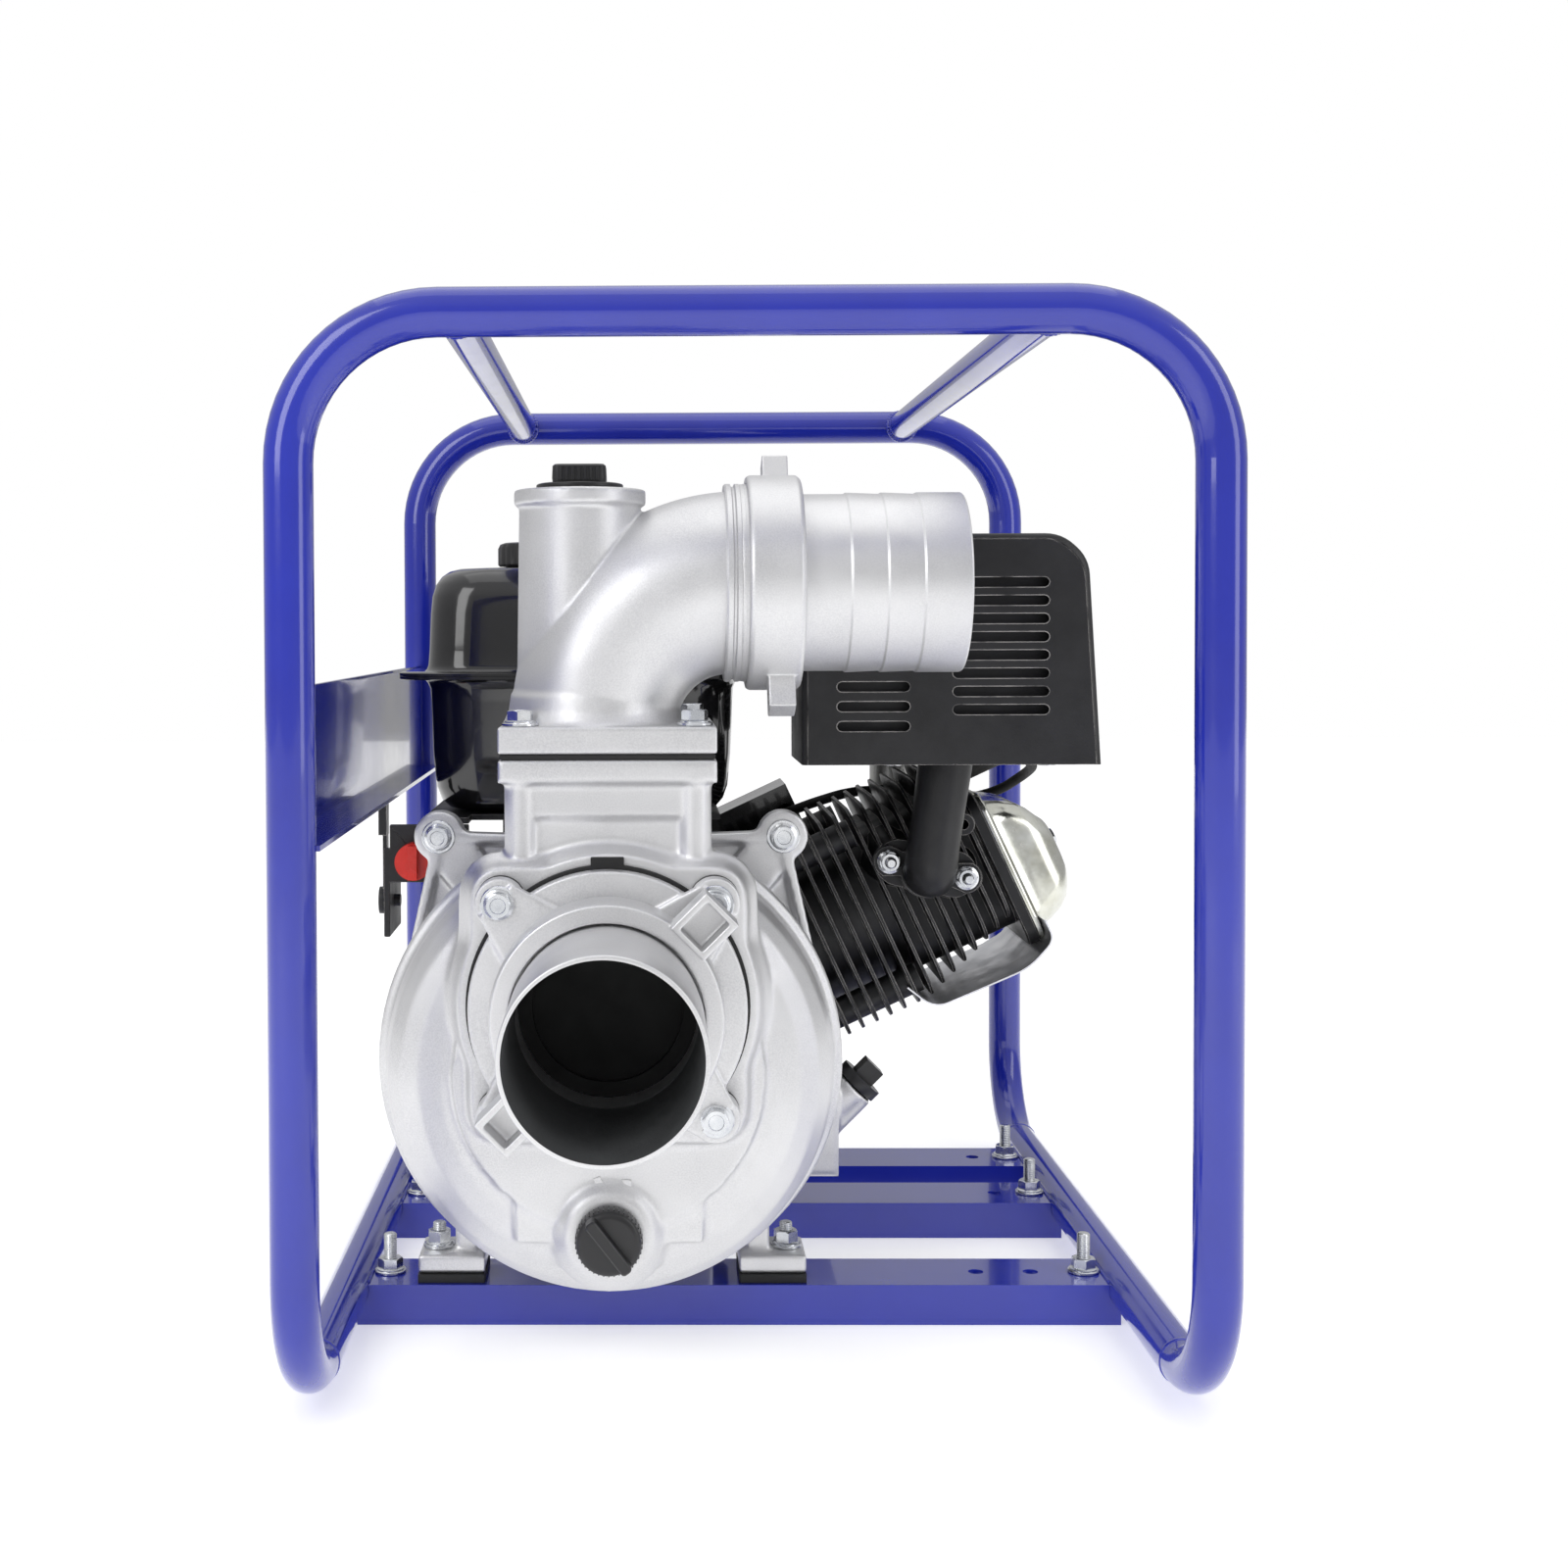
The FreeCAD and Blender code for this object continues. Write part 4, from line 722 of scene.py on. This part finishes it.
head_top = bmesh.new()
core = [rounded_rect(0.102, 0.102, 0.020, level) for level in (0.1985, 0.2715)]
loft(head_top, core, on_cylinder())
for index in range(8):
    cooling_fin(head_top, 0.1985 + 0.0095 * index, 2.4 * MM, 0.022, 0.0035 * index)
rings = [rounded_rect(0.108 - 2 * inset, 0.116 - 2 * inset, 0.014, level, (-0.012, 0))
         for level, inset in ((0.2705, 0.001), (0.2715, 0), (0.278, 0), (0.279, 0.001))]
loft(head_top, rings, on_cylinder())
PORT = on_cylinder(0.229, 0, 0.0135).translation
port_turn = forwards(Vector((PORT.x, 0.0445, PORT.z))) @ EXHAUST_TURN
port_rings = [rounded_rect(0.066 + 2 * grow, 0.030 + 2 * grow, 0.0148, level)
              for level, grow in ((0.0, 0.006), (0.006, 0.003), (0.018, 0.0), (0.0293, 0.0))]
loft(head_top, port_rings, port_turn)
stud_boss = on_cylinder(0.262, 0.0, 0.030).translation
lathe(head_top, [(0.0032, 0.0), (0.0085, 0.0), (0.0075, 0.040), (0.0068, 0.0415), (0.0032, 0.0415),
                 (0.0032, 0.030)], forwards(Vector((stud_boss.x, 0.050, stud_boss.z))), 28)
plug_seat = on_cylinder(0.258, 0.074, 0.056)
lathe(head_top, [(0.0062, 0.0), (0.012, 0.0), (0.011, 0.0198), (0.0062, 0.0198)], plug_seat, 28)
loft(head_top, [rounded_rect(0.016, 0.022, 0.003, level, (-0.009, 0)) for level in (0.0, 0.018)],
     plug_seat)
stand_in("head_fins", head_top, "cylinder_head")

rocker = bmesh.new()
rocker_frame = on_cylinder(0.279, CYLINDER_Y, -0.066)
ROCKER_LEVELS = [
    # height, low edge, high edge, half width along the shaft, corner
    (0.0, 0.0, 106, 56, 14), (2.6, 0.0, 106, 56, 14), (3.6, 1.2, 104.8, 54.8, 13),
    (4.0, 5.0, 100.5, 51.5, 13), (5.2, 6.2, 99.0, 50.6, 14), (14, 8.0, 94.5, 49.6, 16),
    (23, 11.5, 88.5, 48.6, 17), (29.5, 16.5, 81.0, 46.6, 17), (33.8, 23.0, 73.5, 43.0, 16),
    (36.8, 29.5, 69.0, 38.5, 14), (38.0, 36.0, 66.0, 33.0, 11),
]
loft(rocker, [
    rounded_rect((high - low) * MM, 2 * half * MM, corner * MM, level * MM,
                 ((low + high) / 2 * MM, 0))
    for level, low, high, half, corner in ROCKER_LEVELS
], rocker_frame)
stand_in("rocker_dome", rocker, "rocker_cover", material=ROCKER_ZINC, smooth_angle=0.9)


def bent_sheet(bm, profile, start, end, thick, matrix, wave=0.0):
    """A bent sheet: an (x, z) line carried from start to end along the local Y."""
    steps = 24
    grid = []
    for side in (0, 1):
        rows = []
        for step in range(steps + 1):
            y = start + (end - start) * step / steps
            row = []
            for index, (x, z) in enumerate(profile):
                before = Vector(profile[max(index - 1, 0)])
                after = Vector(profile[min(index + 1, len(profile) - 1)])
                run = (after - before).normalized()
                lift = Vector((-run.y, run.x)) * thick * side
                trim = wave * math.sin(index * 1.3) if step == 0 else 0.0
                row.append(bm.verts.new(matrix @ Vector((x + lift.x, y + trim, z + lift.y))))
            rows.append(row)
        grid.append(rows)
    for rows in grid:
        for low, high in zip(rows, rows[1:]):
            for index in range(len(profile) - 1):
                bm.faces.new((low[index], low[index + 1], high[index + 1], high[index]))
    for step in (0, steps):
        for index in range(len(profile) - 1):
            bm.faces.new((grid[0][step][index], grid[0][step][index + 1],
                          grid[1][step][index + 1], grid[1][step][index]))
    for index in (0, len(profile) - 1):
        for step in range(steps):
            bm.faces.new((grid[0][step][index], grid[0][step + 1][index],
                          grid[1][step + 1][index], grid[1][step][index]))


shroud = bmesh.new()
shroud_line = softened([(-0.052, 0.186), (-0.0715, 0.196), (-0.0735, 0.262), (-0.064, 0.284),
                        (-0.050, 0.284)], 0.010, 5)
bent_sheet(shroud, shroud_line, -0.054, 0.070, 1.0 * MM, on_cylinder(0, CYLINDER_Y, 0), 2.0 * MM)
piece("under_shroud", shroud, "pump_set", slot="zinc_steel", material=GALVANISED, smooth_angle=0.5)


# ---------------------------------------------------------------- exhaust

guard_line = softened([(0.041, 0.331), (0.041, 0.455), (0.0575, 0.471), (0.198, 0.471),
                       (0.2145, 0.456), (0.222, 0.331)], 0.012, 6)
GUARD_MIDDLE, GUARD_BEND = 0.1, 0.44


def pulled_in(x, z, inset):
    """A point of the guard's outline, moved inwards from its sides and its top."""
    return x + (inset if x < GUARD_MIDDLE else -inset), z - (inset if z > GUARD_BEND else 0)


def slot_hole(left, right, level, half=2.9 * MM):
    """A slot with round ends, as a ring of points."""
    ring = []
    for centre, start in ((right - half, -90), (left + half, 90)):
        for step in range(7):
            x, z = polar(half, math.radians(start + 30 * step))
            ring.append((centre + x, level + z))
    return ring


guard = bmesh.new()
face_line = [(x + (0.0032 if x < GUARD_MIDDLE else -0.0032) * (1 if z < 0.47 else 0.6),
              z - (0.0032 if z > GUARD_BEND else 0.0)) for x, z in guard_line]
slots = [slot_hole(0.132, 0.190, 0.3645 + 0.011 * row) for row in range(8)]
slots += [slot_hole(0.062, 0.106, 0.3545 + 0.012 * row) for row in range(3)]
guard_face = Matrix(((1, 0, 0, 0), (0, 0, 1, -0.0602), (0, 1, 0, 0), (0, 0, 0, 1)))
plate_with_holes(guard, face_line, slots, 1.5 * MM, guard_face, 0.3 * MM)
strip = [[(y, *pulled_in(x, z, inset)) for x, z in guard_line] for y, inset in (
    (-0.0609, 0.0030), (-0.0603, 0.0014), (-0.0590, 0.0004), (-0.0575, 0.0), (0.029, 0.0))]
inner_strip = [[(y, *pulled_in(x, z, 0.0015)) for y, x, z in ring] for ring in strip[::-1]]
for ring_set in (strip, inner_strip):
    rows = [[guard.verts.new((x, y, z)) for y, x, z in ring] for ring in ring_set]
    for low, high in zip(rows, rows[1:]):
        for index in range(len(guard_line) - 1):
            guard.faces.new((low[index], low[index + 1], high[index + 1], high[index]))
stand_in("guard", guard, "muffler_guard", smooth_angle=0.7)

pipe = bmesh.new()
pipe_path = [Vector((PORT.x, 0.0075, PORT.z)), Vector((PORT.x, -0.001, PORT.z + 0.0005))]
for step in range(1, 9):
    angle = math.radians(90 * step / 8)
    pipe_path.append(Vector((
        PORT.x, -0.0005 - 0.0055 * math.sin(angle), PORT.z + 0.006 - 0.0055 * math.cos(angle))))
for step in range(1, 7):
    rise = 0.0125 * step
    pipe_path.append(Vector((PORT.x + 0.14 * rise, -0.006, PORT.z + 0.0062 + rise)))
rings = []
for index, spot in enumerate(pipe_path):
    before = pipe_path[max(index - 1, 0)]
    after = pipe_path[min(index + 1, len(pipe_path) - 1)]
    run = (after - before).normalized()
    side = Vector((1, 0, 0))
    up = run.cross(side).normalized()
    side = up.cross(run).normalized()
    swell = 0.0166 + 0.0003 * math.sin(index)
    rings.append([spot + (side * math.cos(a) + up * math.sin(a)) * swell for a in turns(40)])
loft(pipe, rings)
flange_turn = forwards(Vector((PORT.x, 0.0150, PORT.z))) @ EXHAUST_TURN
flange_shape = []
for angle in turns(72):
    off = abs((angle + math.pi / 2) % math.pi - math.pi / 2)
    side = 0.0252 * math.sin(off)
    ear_hit = 0.0252 * math.cos(off) + math.sqrt(max(0.0105 ** 2 - side ** 2, 0))
    reach = ear_hit if abs(side) < 0.0105 else 0.0185
    flange_shape.append((angle, max(0.0185, reach) if off > 0.62 else reach))
loft(pipe, [
    [(*polar(reach - inset, angle), level) for angle, reach in flange_shape]
    for level, inset in ((0.0, 0.0006), (0.0006, 0), (0.0052, 0), (0.006, 0.0008))
], flange_turn)
stand_in("exhaust_pipe", pipe, "exhaust_elbow", smooth_angle=0.7)


# ---------------------------------------------------------------- tank and cleaner

def pressed_shell(bm, levels, centre):
    """A deep-drawn shell: (height, width, depth, corner, shift) rings from bottom to top."""
    rings = []
    for level in levels:
        height, width, depth, corner, shift = mm(*level)
        rings.append(rounded_rect(width, depth, corner, height, (centre[0] + shift, centre[1]), 8))
    loft(bm, rings)


TANK_CENTRE = (-0.097, 0.1505)
tank_top = bmesh.new()
pressed_shell(tank_top, [
    (383.0, 241, 223, 34, -1.5), (384.9, 241, 223, 34, -1.5), (385.5, 239.4, 221.4, 33, -1.5),
    (385.6, 213, 200, 32, 0), (387.2, 209.5, 196.5, 31, 0), (390, 207.5, 195, 31, 0),
    (400, 206, 194, 31, 0), (425, 204, 192, 31, 0), (436, 202, 190, 31, 0),
    (444, 197.5, 185.5, 31, 0), (449.5, 190, 178, 30, 0), (453.2, 180, 168, 29, 0),
    (455.0, 167, 155, 26, 0), (455.8, 140, 128, 20, 0), (456, 90, 90, 16, 0),
], TANK_CENTRE)
lathe(tank_top, [(0.0195, 0.4545), (0.0245, 0.4545), (0.0225, 0.458), (0.0222, 0.4628),
                 (0.0212, 0.463), (0.0195, 0.462)],
      Matrix.Translation((-0.130, 0.150, 0)), 48)
stand_in("tank_top", tank_top, "fuel_tank_upper", smooth_angle=0.8)

tank_bottom = bmesh.new()
pressed_shell(tank_bottom, [
    (291, 150, 150, 22, 2), (291.3, 168, 160, 26, 1), (293.5, 182, 172, 28, 0.5),
    (299, 192, 181, 30, 0), (308, 198, 187, 31, 0), (330, 202, 190, 31, 0),
    (365, 204, 192, 31, 0), (374, 205, 193, 31, 0), (378.5, 209, 196.5, 31, 0),
    (380.4, 213, 200, 32, 0), (380.5, 239.4, 221.4, 33, -1.5), (381.0, 241, 223, 34, -1.5),
    (382.8, 241, 223, 34, -1.5),
], TANK_CENTRE)
stand_in("tank_bottom", tank_bottom, "fuel_tank_lower", smooth_angle=0.8)

cleaner = bmesh.new()
CLEANER_CENTRE = (0.136, 0.157)
pressed_shell(cleaner, [
    (350.4, 138, 116, 16, 0), (354.5, 138, 116, 16, 0), (355.3, 136.4, 114.4, 16, 0),
    (356, 134.5, 112.5, 17, 0), (400, 132, 110, 19, 0), (425, 130, 108, 20, 0),
    (436, 126, 104, 20, 0), (443, 118, 96, 20, 0), (447, 106, 84, 18, 0), (448.2, 88, 66, 14, 0),
], CLEANER_CENTRE)
for shift in (-0.036, -0.012, 0.012, 0.036):
    rib = Matrix.Translation((CLEANER_CENTRE[0] + shift, CLEANER_CENTRE[1], 0))
    foot = [(x, y, 0.440) for x, y in (
        (-0.003, -0.047), (0.003, -0.047), (0.003, 0.047), (-0.003, 0.047))]
    loft(cleaner, [foot, [(x * 2 / 3, y * 0.94, 0.4483) for x, y, z in foot]], rib)
stand_in("cleaner_shell", cleaner, "air_cleaner_cover", smooth_angle=0.7)


# ---------------------------------------------------------------- fasteners

pump_bolts = bmesh.new()
for dx in (-FLANGE_BOLT, FLANGE_BOLT):
    for dz in (-FLANGE_BOLT, FLANGE_BOLT):
        bolted(pump_bolts, forwards(INLET + Vector((dx, -0.2095, dz))), 0.4, 10, 6.6, 8.2)
for dx in (-EAR_X, EAR_X):
    bolted(pump_bolts, forwards(Vector((PUMP_X + dx, -0.079, EAR_Z))), 0.15, 10, 6.6, 8.2)
stand_in("pump_bolt_set", pump_bolts, "casing_bolts", smooth_angle=FASTENER_ANGLE)

elbow_set = bmesh.new()
for dx in (-0.048, 0.048):
    for dy in (-0.043, 0.043):
        face = Matrix.Translation((PUMP_X + dx, OUTLET_Y + dy, 0.361))
        bolted(elbow_set, face, 0.3 + dx * 9, 10, 6.8, 8.4)
stand_in("elbow_bolt_set", elbow_set, "elbow_bolts", smooth_angle=FASTENER_ANGLE)

stud_set = bmesh.new()
for y in MEMBER_ROWS:
    for x in (-0.210, 0.210):
        base = Matrix.Translation((x, y, 0.024))
        bolted(stud_set, base, x + 3 * y, 9.5, 7, 8.4)
        stud_end(stud_set, base, 4, 8.6, 23.8)
        hex_head(stud_set, Matrix.Translation((x, y, 0.0210)) @ UPSIDE_DOWN, 13, 5.6)
stand_in("stud_set", stud_set, "frame_studs", smooth_angle=FASTENER_ANGLE)

mount_set = bmesh.new()
ENGINE_FEET = [(PUMP_X + dx, y, 0.034, 7) for dx in (-0.0975, 0.0975) for y in MEMBER_ROWS[1:]]
PUMP_FEET = [(PUMP_X + dx, MEMBER_ROWS[0], 0.040, 8) for dx in (-0.105, 0.105)]
for x, y, z, tall in ENGINE_FEET + PUMP_FEET:
    base = Matrix.Translation((x, y, z))
    bolted(mount_set, base, 5 * x, 9.6, tall, 8.2)
    hex_head(mount_set, Matrix.Translation((x, y, 0.0208)) @ UPSIDE_DOWN, 13, 6)
    if y == MEMBER_ROWS[0]:
        stud_end(mount_set, base, 4, 10, 15)
stand_in("mount_bolt_set", mount_set, "mounting_bolts", smooth_angle=FASTENER_ANGLE)

small_bolts = bmesh.new()
for side in (-0.0252, 0.0252):
    face = forwards(flange_turn @ Vector((side, 0, 0.006)))
    bolted(small_bolts, face, 0.5 + 9 * side, 7.8, 5.6, 7.6, 11.5, 1.6, 3.8)
    stud_end(small_bolts, face, 3.4, 7.2, 11.8, 1.0)
hex_head(small_bolts, on_cylinder(0.3172, CYLINDER_Y, -0.015), 10, 5.2, 7.6)
for x in (0.098, 0.192):
    hanging = Matrix.Translation((x, -0.044, 0.3362)) @ UPSIDE_DOWN
    hex_head(small_bolts, hanging, 11, 6.6, 7.6)
stand_in("engine_bolt_set", small_bolts, "engine_bolts", smooth_angle=FASTENER_ANGLE)


# ---------------------------------------------------------------- welds and small parts

def weld_bead(bm, points, radius, ripple=2.1 * MM):
    """A stacked-coin weld bead laid along a line of points."""
    line = [Vector(point) for point in points]
    dense = []
    for start, end in zip(line, line[1:]):
        steps = max(2, int((end - start).length / (0.35 * MM)))
        dense += [start.lerp(end, step / steps) for step in range(steps)]
    dense.append(line[-1])
    rings, travelled = [], 0.0
    for index, spot in enumerate(dense):
        before, after = dense[max(index - 1, 0)], dense[min(index + 1, len(dense) - 1)]
        run = (after - before).normalized()
        travelled += (spot - before).length
        side = run.orthogonal().normalized()
        up = run.cross(side)
        wave = radius * (0.84 + 0.16 * abs(math.sin(math.pi * travelled / ripple)))
        fade = min(1.0, 0.35 + index / 6, 0.35 + (len(dense) - 1 - index) / 6)
        rings.append([spot + (side * math.cos(a) + up * math.sin(a)) * wave * fade
                      for a in turns(10)])
    loft(bm, rings)


welds = bmesh.new()
TOP_Z = 0.5725
for x in (-0.149, 0.149):
    for hoop_y, inward in HOOPS:
        ring = []
        for step in range(33):
            angle = 2 * math.pi * step / 32
            up = 0.0105 * math.sin(angle)
            depth = math.sqrt(0.0125 ** 2 - up ** 2)
            ring.append((x + 0.0106 * math.cos(angle), hoop_y + inward * (depth + 0.0004), TOP_Z + up))
        weld_bead(welds, ring, 2.3 * MM)
for y in MEMBER_ROWS:
    for side in (-1, 1):
        for edge in (-0.0235, 0.0235):
            seam = []
            for step in range(7):
                angle = math.radians(205 + 9 * step)
                seam.append((side * (RAIL_X + 0.0127 * math.cos(angle)), y + edge,
                             RAIL_Z + 0.01143 * math.sin(angle) + 0.0012))
            weld_bead(welds, seam, 1.7 * MM)
        weld_bead(welds, [(side * 0.2212, y - 0.022, 0.0238), (side * 0.2212, y + 0.022, 0.0238)],
                  1.8 * MM)
for hoop_y, inward in HOOPS:
    for start, end in ((0.308, 0.330), (0.358, 0.380)):
        weld_bead(welds, [(-0.2345, hoop_y + inward * 0.0127, start),
                          (-0.2345, hoop_y + inward * 0.0127, end)], 1.8 * MM)
piece("weld_beads", welds, "pump_set", slot="blue_paint", smooth_angle=0)

seams = bmesh.new()
for x in (-RAIL_X, RAIL_X):
    for y in (-0.206, 0.257):
        lathe(seams, [(0.0120, -0.0022), (0.0127, -0.0019), (0.0130, -0.0008), (0.0130, 0.0008),
                      (0.0127, 0.0019), (0.0120, 0.0022)],
              standing((0, 1, 0), Vector((x, y, RAIL_Z))), 48)
piece("rail_seams", seams, "pump_set", slot="blue_paint", smooth_angle=0)

tail_front = bmesh.new()
lathe(tail_front, softened([
    (0.0486, 0.0), (0.0504, 0.0), (0.0510, 0.0008), (0.0510, 0.0400), (0.0502, 0.0412),
    (0.0510, 0.0580), (0.0502, 0.0592), (0.0510, 0.0760), (0.0502, 0.0772), (0.0502, 0.1040),
    (0.0570, 0.1042), (0.0570, 0.1118), (0.0486, 0.1120), (0.0486, 0.0002),
], 0.0004, 2), standing((0, 1, 0), INLET + mm(0, -334.5, 0)), 160)
front_tail = stand_in("suction_tail", tail_front, "suction_hose_tail", smooth_angle=0.5)

tail_side = bmesh.new()
lathe(tail_side, softened([
    (0.0486, 0.0), (0.0560, 0.0), (0.0560, 0.0074), (0.0502, 0.0076), (0.0502, 0.0420),
    (0.0510, 0.0432), (0.0502, 0.0620), (0.0510, 0.0632), (0.0502, 0.0820), (0.0510, 0.0832),
    (0.0510, 0.1077), (0.0504, 0.1087), (0.0486, 0.1087), (0.0486, 0.0002),
], 0.0004, 2), standing((1, 0, 0), Vector((0.0163, OUTLET_Y, OUTLET_Z))), 160)
side_tail = stand_in("outlet_tail", tail_side, "outlet_hose_tail", smooth_angle=0.5)


def paint_bore_shade(thing, axis_spot, axis):
    """Give the inside of a pipe a darker finish that stands for painted shade."""
    thing.data.materials.append(BORE_PAINTED_SHADE)
    axis = Vector(axis)
    for face in thing.data.polygons:
        away = face.center - Vector(axis_spot)
        away -= axis * away.dot(axis)
        if away.length < 0.0488 and face.normal.dot(away) < 0:
            face.material_index = 1


# paint shade into the bores of both hose tails
paint_bore_shade(front_tail, INLET, (0, 1, 0))
paint_bore_shade(side_tail, (0, OUTLET_Y, OUTLET_Z), (1, 0, 0))

drain = bmesh.new()
drain_frame = forwards(Vector((PUMP_X, -0.1863, 0.081)))
lathe(drain, softened([
    (0.0002, -0.005), (0.0112, -0.005), (0.0112, 0.0004), (0.0180, 0.0004), (0.0184, 0.0050),
    (0.0176, 0.0110), (0.0150, 0.0124), (0.0002, 0.0128),
], 0.0012, 3), drain_frame, 64, closed=False)
for step in range(40):
    turn = drain_frame @ Matrix.Rotation(math.radians(9 * step), 4, "Z")
    loft(drain, [[(x, y, level) for x, y in ((0.0172, -0.0005), (0.0185, -0.0003),
                                             (0.0185, 0.0003), (0.0172, 0.0005))]
                 for level in (0.0015, 0.0090)], turn)
bar_turn = drain_frame @ Matrix.Rotation(math.radians(-52), 4, "Z")
loft(drain, [rounded_rect(0.0350 - 2 * inset, 0.0072 - 2 * inset, 0.0024 - inset * 0.5, level)
             for level, inset in ((0.0100, 0.0), (0.0188, 0.0003), (0.0197, 0.0012))], bar_turn)
stand_in("drain_knob", drain, "drain_plug", smooth_angle=0.5)

priming = bmesh.new()
priming_base = Matrix.Translation((PRIMING_X, OUTLET_Y, 0.4933))
lathe(priming, softened([
    (0.0002, -0.022), (0.0198, -0.022), (0.0198, 0.0), (0.0246, 0.0002), (0.0248, 0.0028),
    (0.0230, 0.0034), (0.0002, 0.0036),
], 0.0008, 2), priming_base, 64, closed=False)
loft(priming, [rounded_rect(0.0306 - 2 * inset, 0.0306 - 2 * inset, 0.0040, level)
               for level, inset in ((0.0028, 0.0004), (0.0060, 0.0), (0.0128, 0.0003),
                                    (0.0138, 0.0014))], priming_base)
for step in range(-3, 4):
    loft(priming, [rounded_rect(0.0016, 0.0014, 0.0004, level, (0.0034 * step, -0.0156))
                   for level in (0.0048, 0.0124)], priming_base)
stand_in("priming_knob", priming, "priming_plug", smooth_angle=0.5)

cap = bmesh.new()
teeth = []
for level, inset in ((0.0, 0.0010), (0.0012, 0.0), (0.0125, 0.0), (0.0155, 0.0016), (0.0166, 0.0046)):
    ring = []
    for angle in turns(120):
        groove = 0.0009 * (0.5 + 0.5 * math.cos(20 * angle)) ** 3
        reach = 0.0279 - inset - (groove if level < 0.015 else 0)
        ring.append((*polar(reach, angle), level))
    teeth.append(ring)
loft(cap, teeth, Matrix.Translation((-0.130, 0.150, 0.4582)))
stand_in("tank_cap", cap, "fuel_cap", smooth_angle=0.5)

EASED = {
    "front_cross_member": 1.0, "middle_cross_member": 1.0, "rear_cross_member": 1.0,
    "side_plate": 0.6, "suction_gasket": 0.5, "elbow_gasket": 0.8, "muffler": 2.5,
    "tank_bracket": 0.8, "blower_housing": 2.4, "starter_housing": 1.0, "carburettor": 1.2,
    "air_cleaner_base": 1.5, "engine_switch": 0.6, "throttle_lever": 0.6, "oil_filler_cap": 0.8,
    "foot_pads": 0.8, "starter_handle": 1.0, "spark_plug_lead": 0.6,
}
for node, width in EASED.items():
    ease_edges(node, width)

for node, slot in SLOTS.items():
    thing = frame["nodes"][node]
    for index in range(len(thing.material_slots)):
        thing.material_slots[index].link = "OBJECT"
        thing.material_slots[index].material = FINISHES[slot]


# ---------------------------------------------------------------- studio

floor_mesh = bpy.data.meshes.new("floor")
sweep_shape = bmesh.new()
bmesh.ops.create_grid(sweep_shape, x_segments=2, y_segments=2, size=6.0)
sweep_shape.to_mesh(floor_mesh)
sweep_shape.free()
floor = placed("floor", floor_mesh)
paper = Finish("pale paper", 0.0, 0.9)
paper.shader.inputs["Base Color"].default_value = (0.90, 0.90, 0.90, 1)
paper.shader.inputs["Emission Color"].default_value = (1.0, 1.0, 1.0, 1)
paper.shader.inputs["Emission Strength"].default_value = 0.42
dress(floor, paper.material)

bpy.context.scene.view_settings.view_transform = "Standard"
bpy.context.scene.world = bpy.data.worlds.new("studio")
bpy.context.scene.world.use_nodes = True
room = bpy.context.scene.world.node_tree
direction = room.nodes.new("ShaderNodeTexCoord")
height = room.nodes.new("ShaderNodeSeparateXYZ")
room.links.new(direction.outputs["Generated"], height.inputs["Vector"])
walls = room.nodes.new("ShaderNodeValToRGB")
nadir, zenith = walls.color_ramp.elements
nadir.color = (0.62, 0.62, 0.63, 1)
zenith.color = (0.86, 0.86, 0.87, 1)
for position, tone in ((0.46, 0.40), (0.62, 0.48), (0.80, 0.70)):
    walls.color_ramp.elements.new(position).color = (tone, tone, tone * 1.01, 1)
raised = room.nodes.new("ShaderNodeMapRange")
raised.inputs["From Min"].default_value = -1.0
room.links.new(height.outputs["Z"], raised.inputs["Value"])
room.links.new(raised.outputs["Result"], walls.inputs["Fac"])
backdrop = room.nodes.new("ShaderNodeMix")
backdrop.data_type = "RGBA"
backdrop.inputs[7].default_value = (1.0, 1.0, 1.0, 1)
seen = room.nodes.new("ShaderNodeLightPath")
room.links.new(seen.outputs["Is Camera Ray"], backdrop.inputs["Factor"])
room.links.new(walls.outputs["Color"], backdrop.inputs[6])
room.links.new(backdrop.outputs[2], room.nodes["Background"].inputs["Color"])


def soft_light(name, spot, aim, width, height, power):
    light = bpy.data.lights.new(name, "AREA")
    light.shape = "RECTANGLE"
    light.size = width
    light.size_y = height
    light.energy = power
    lamp = placed(name, light)
    lamp.location = spot
    lamp.rotation_euler = (Vector(aim) - Vector(spot)).to_track_quat("-Z", "Y").to_euler()


soft_light("key", (-1.3, -1.5, 1.3), (0, -0.1, 0.25), 0.9, 1.5, 14)
soft_light("fill", (1.6, -1.0, 0.9), (0, 0, 0.3), 0.7, 1.5, 7)
soft_light("top", (0, 0.1, 1.9), (0, 0, 0.3), 1.6, 1.6, 5)

lens = bpy.data.cameras.new("camera")
lens.lens = 45.9
lens.sensor_width = 36
lens.shift_x = 0.1057
lens.shift_y = -0.067
camera = placed("camera", lens)
camera.location = (-0.0557, -1.271, 0.4156)
look = Matrix.Rotation(0.0121, 3, "Z") @ Matrix.Rotation(math.radians(90) - 0.0263, 3, "X")
look = look @ Matrix.Rotation(-0.0037, 3, "Z")
camera.rotation_euler = look.to_euler()
bpy.context.scene.camera = camera
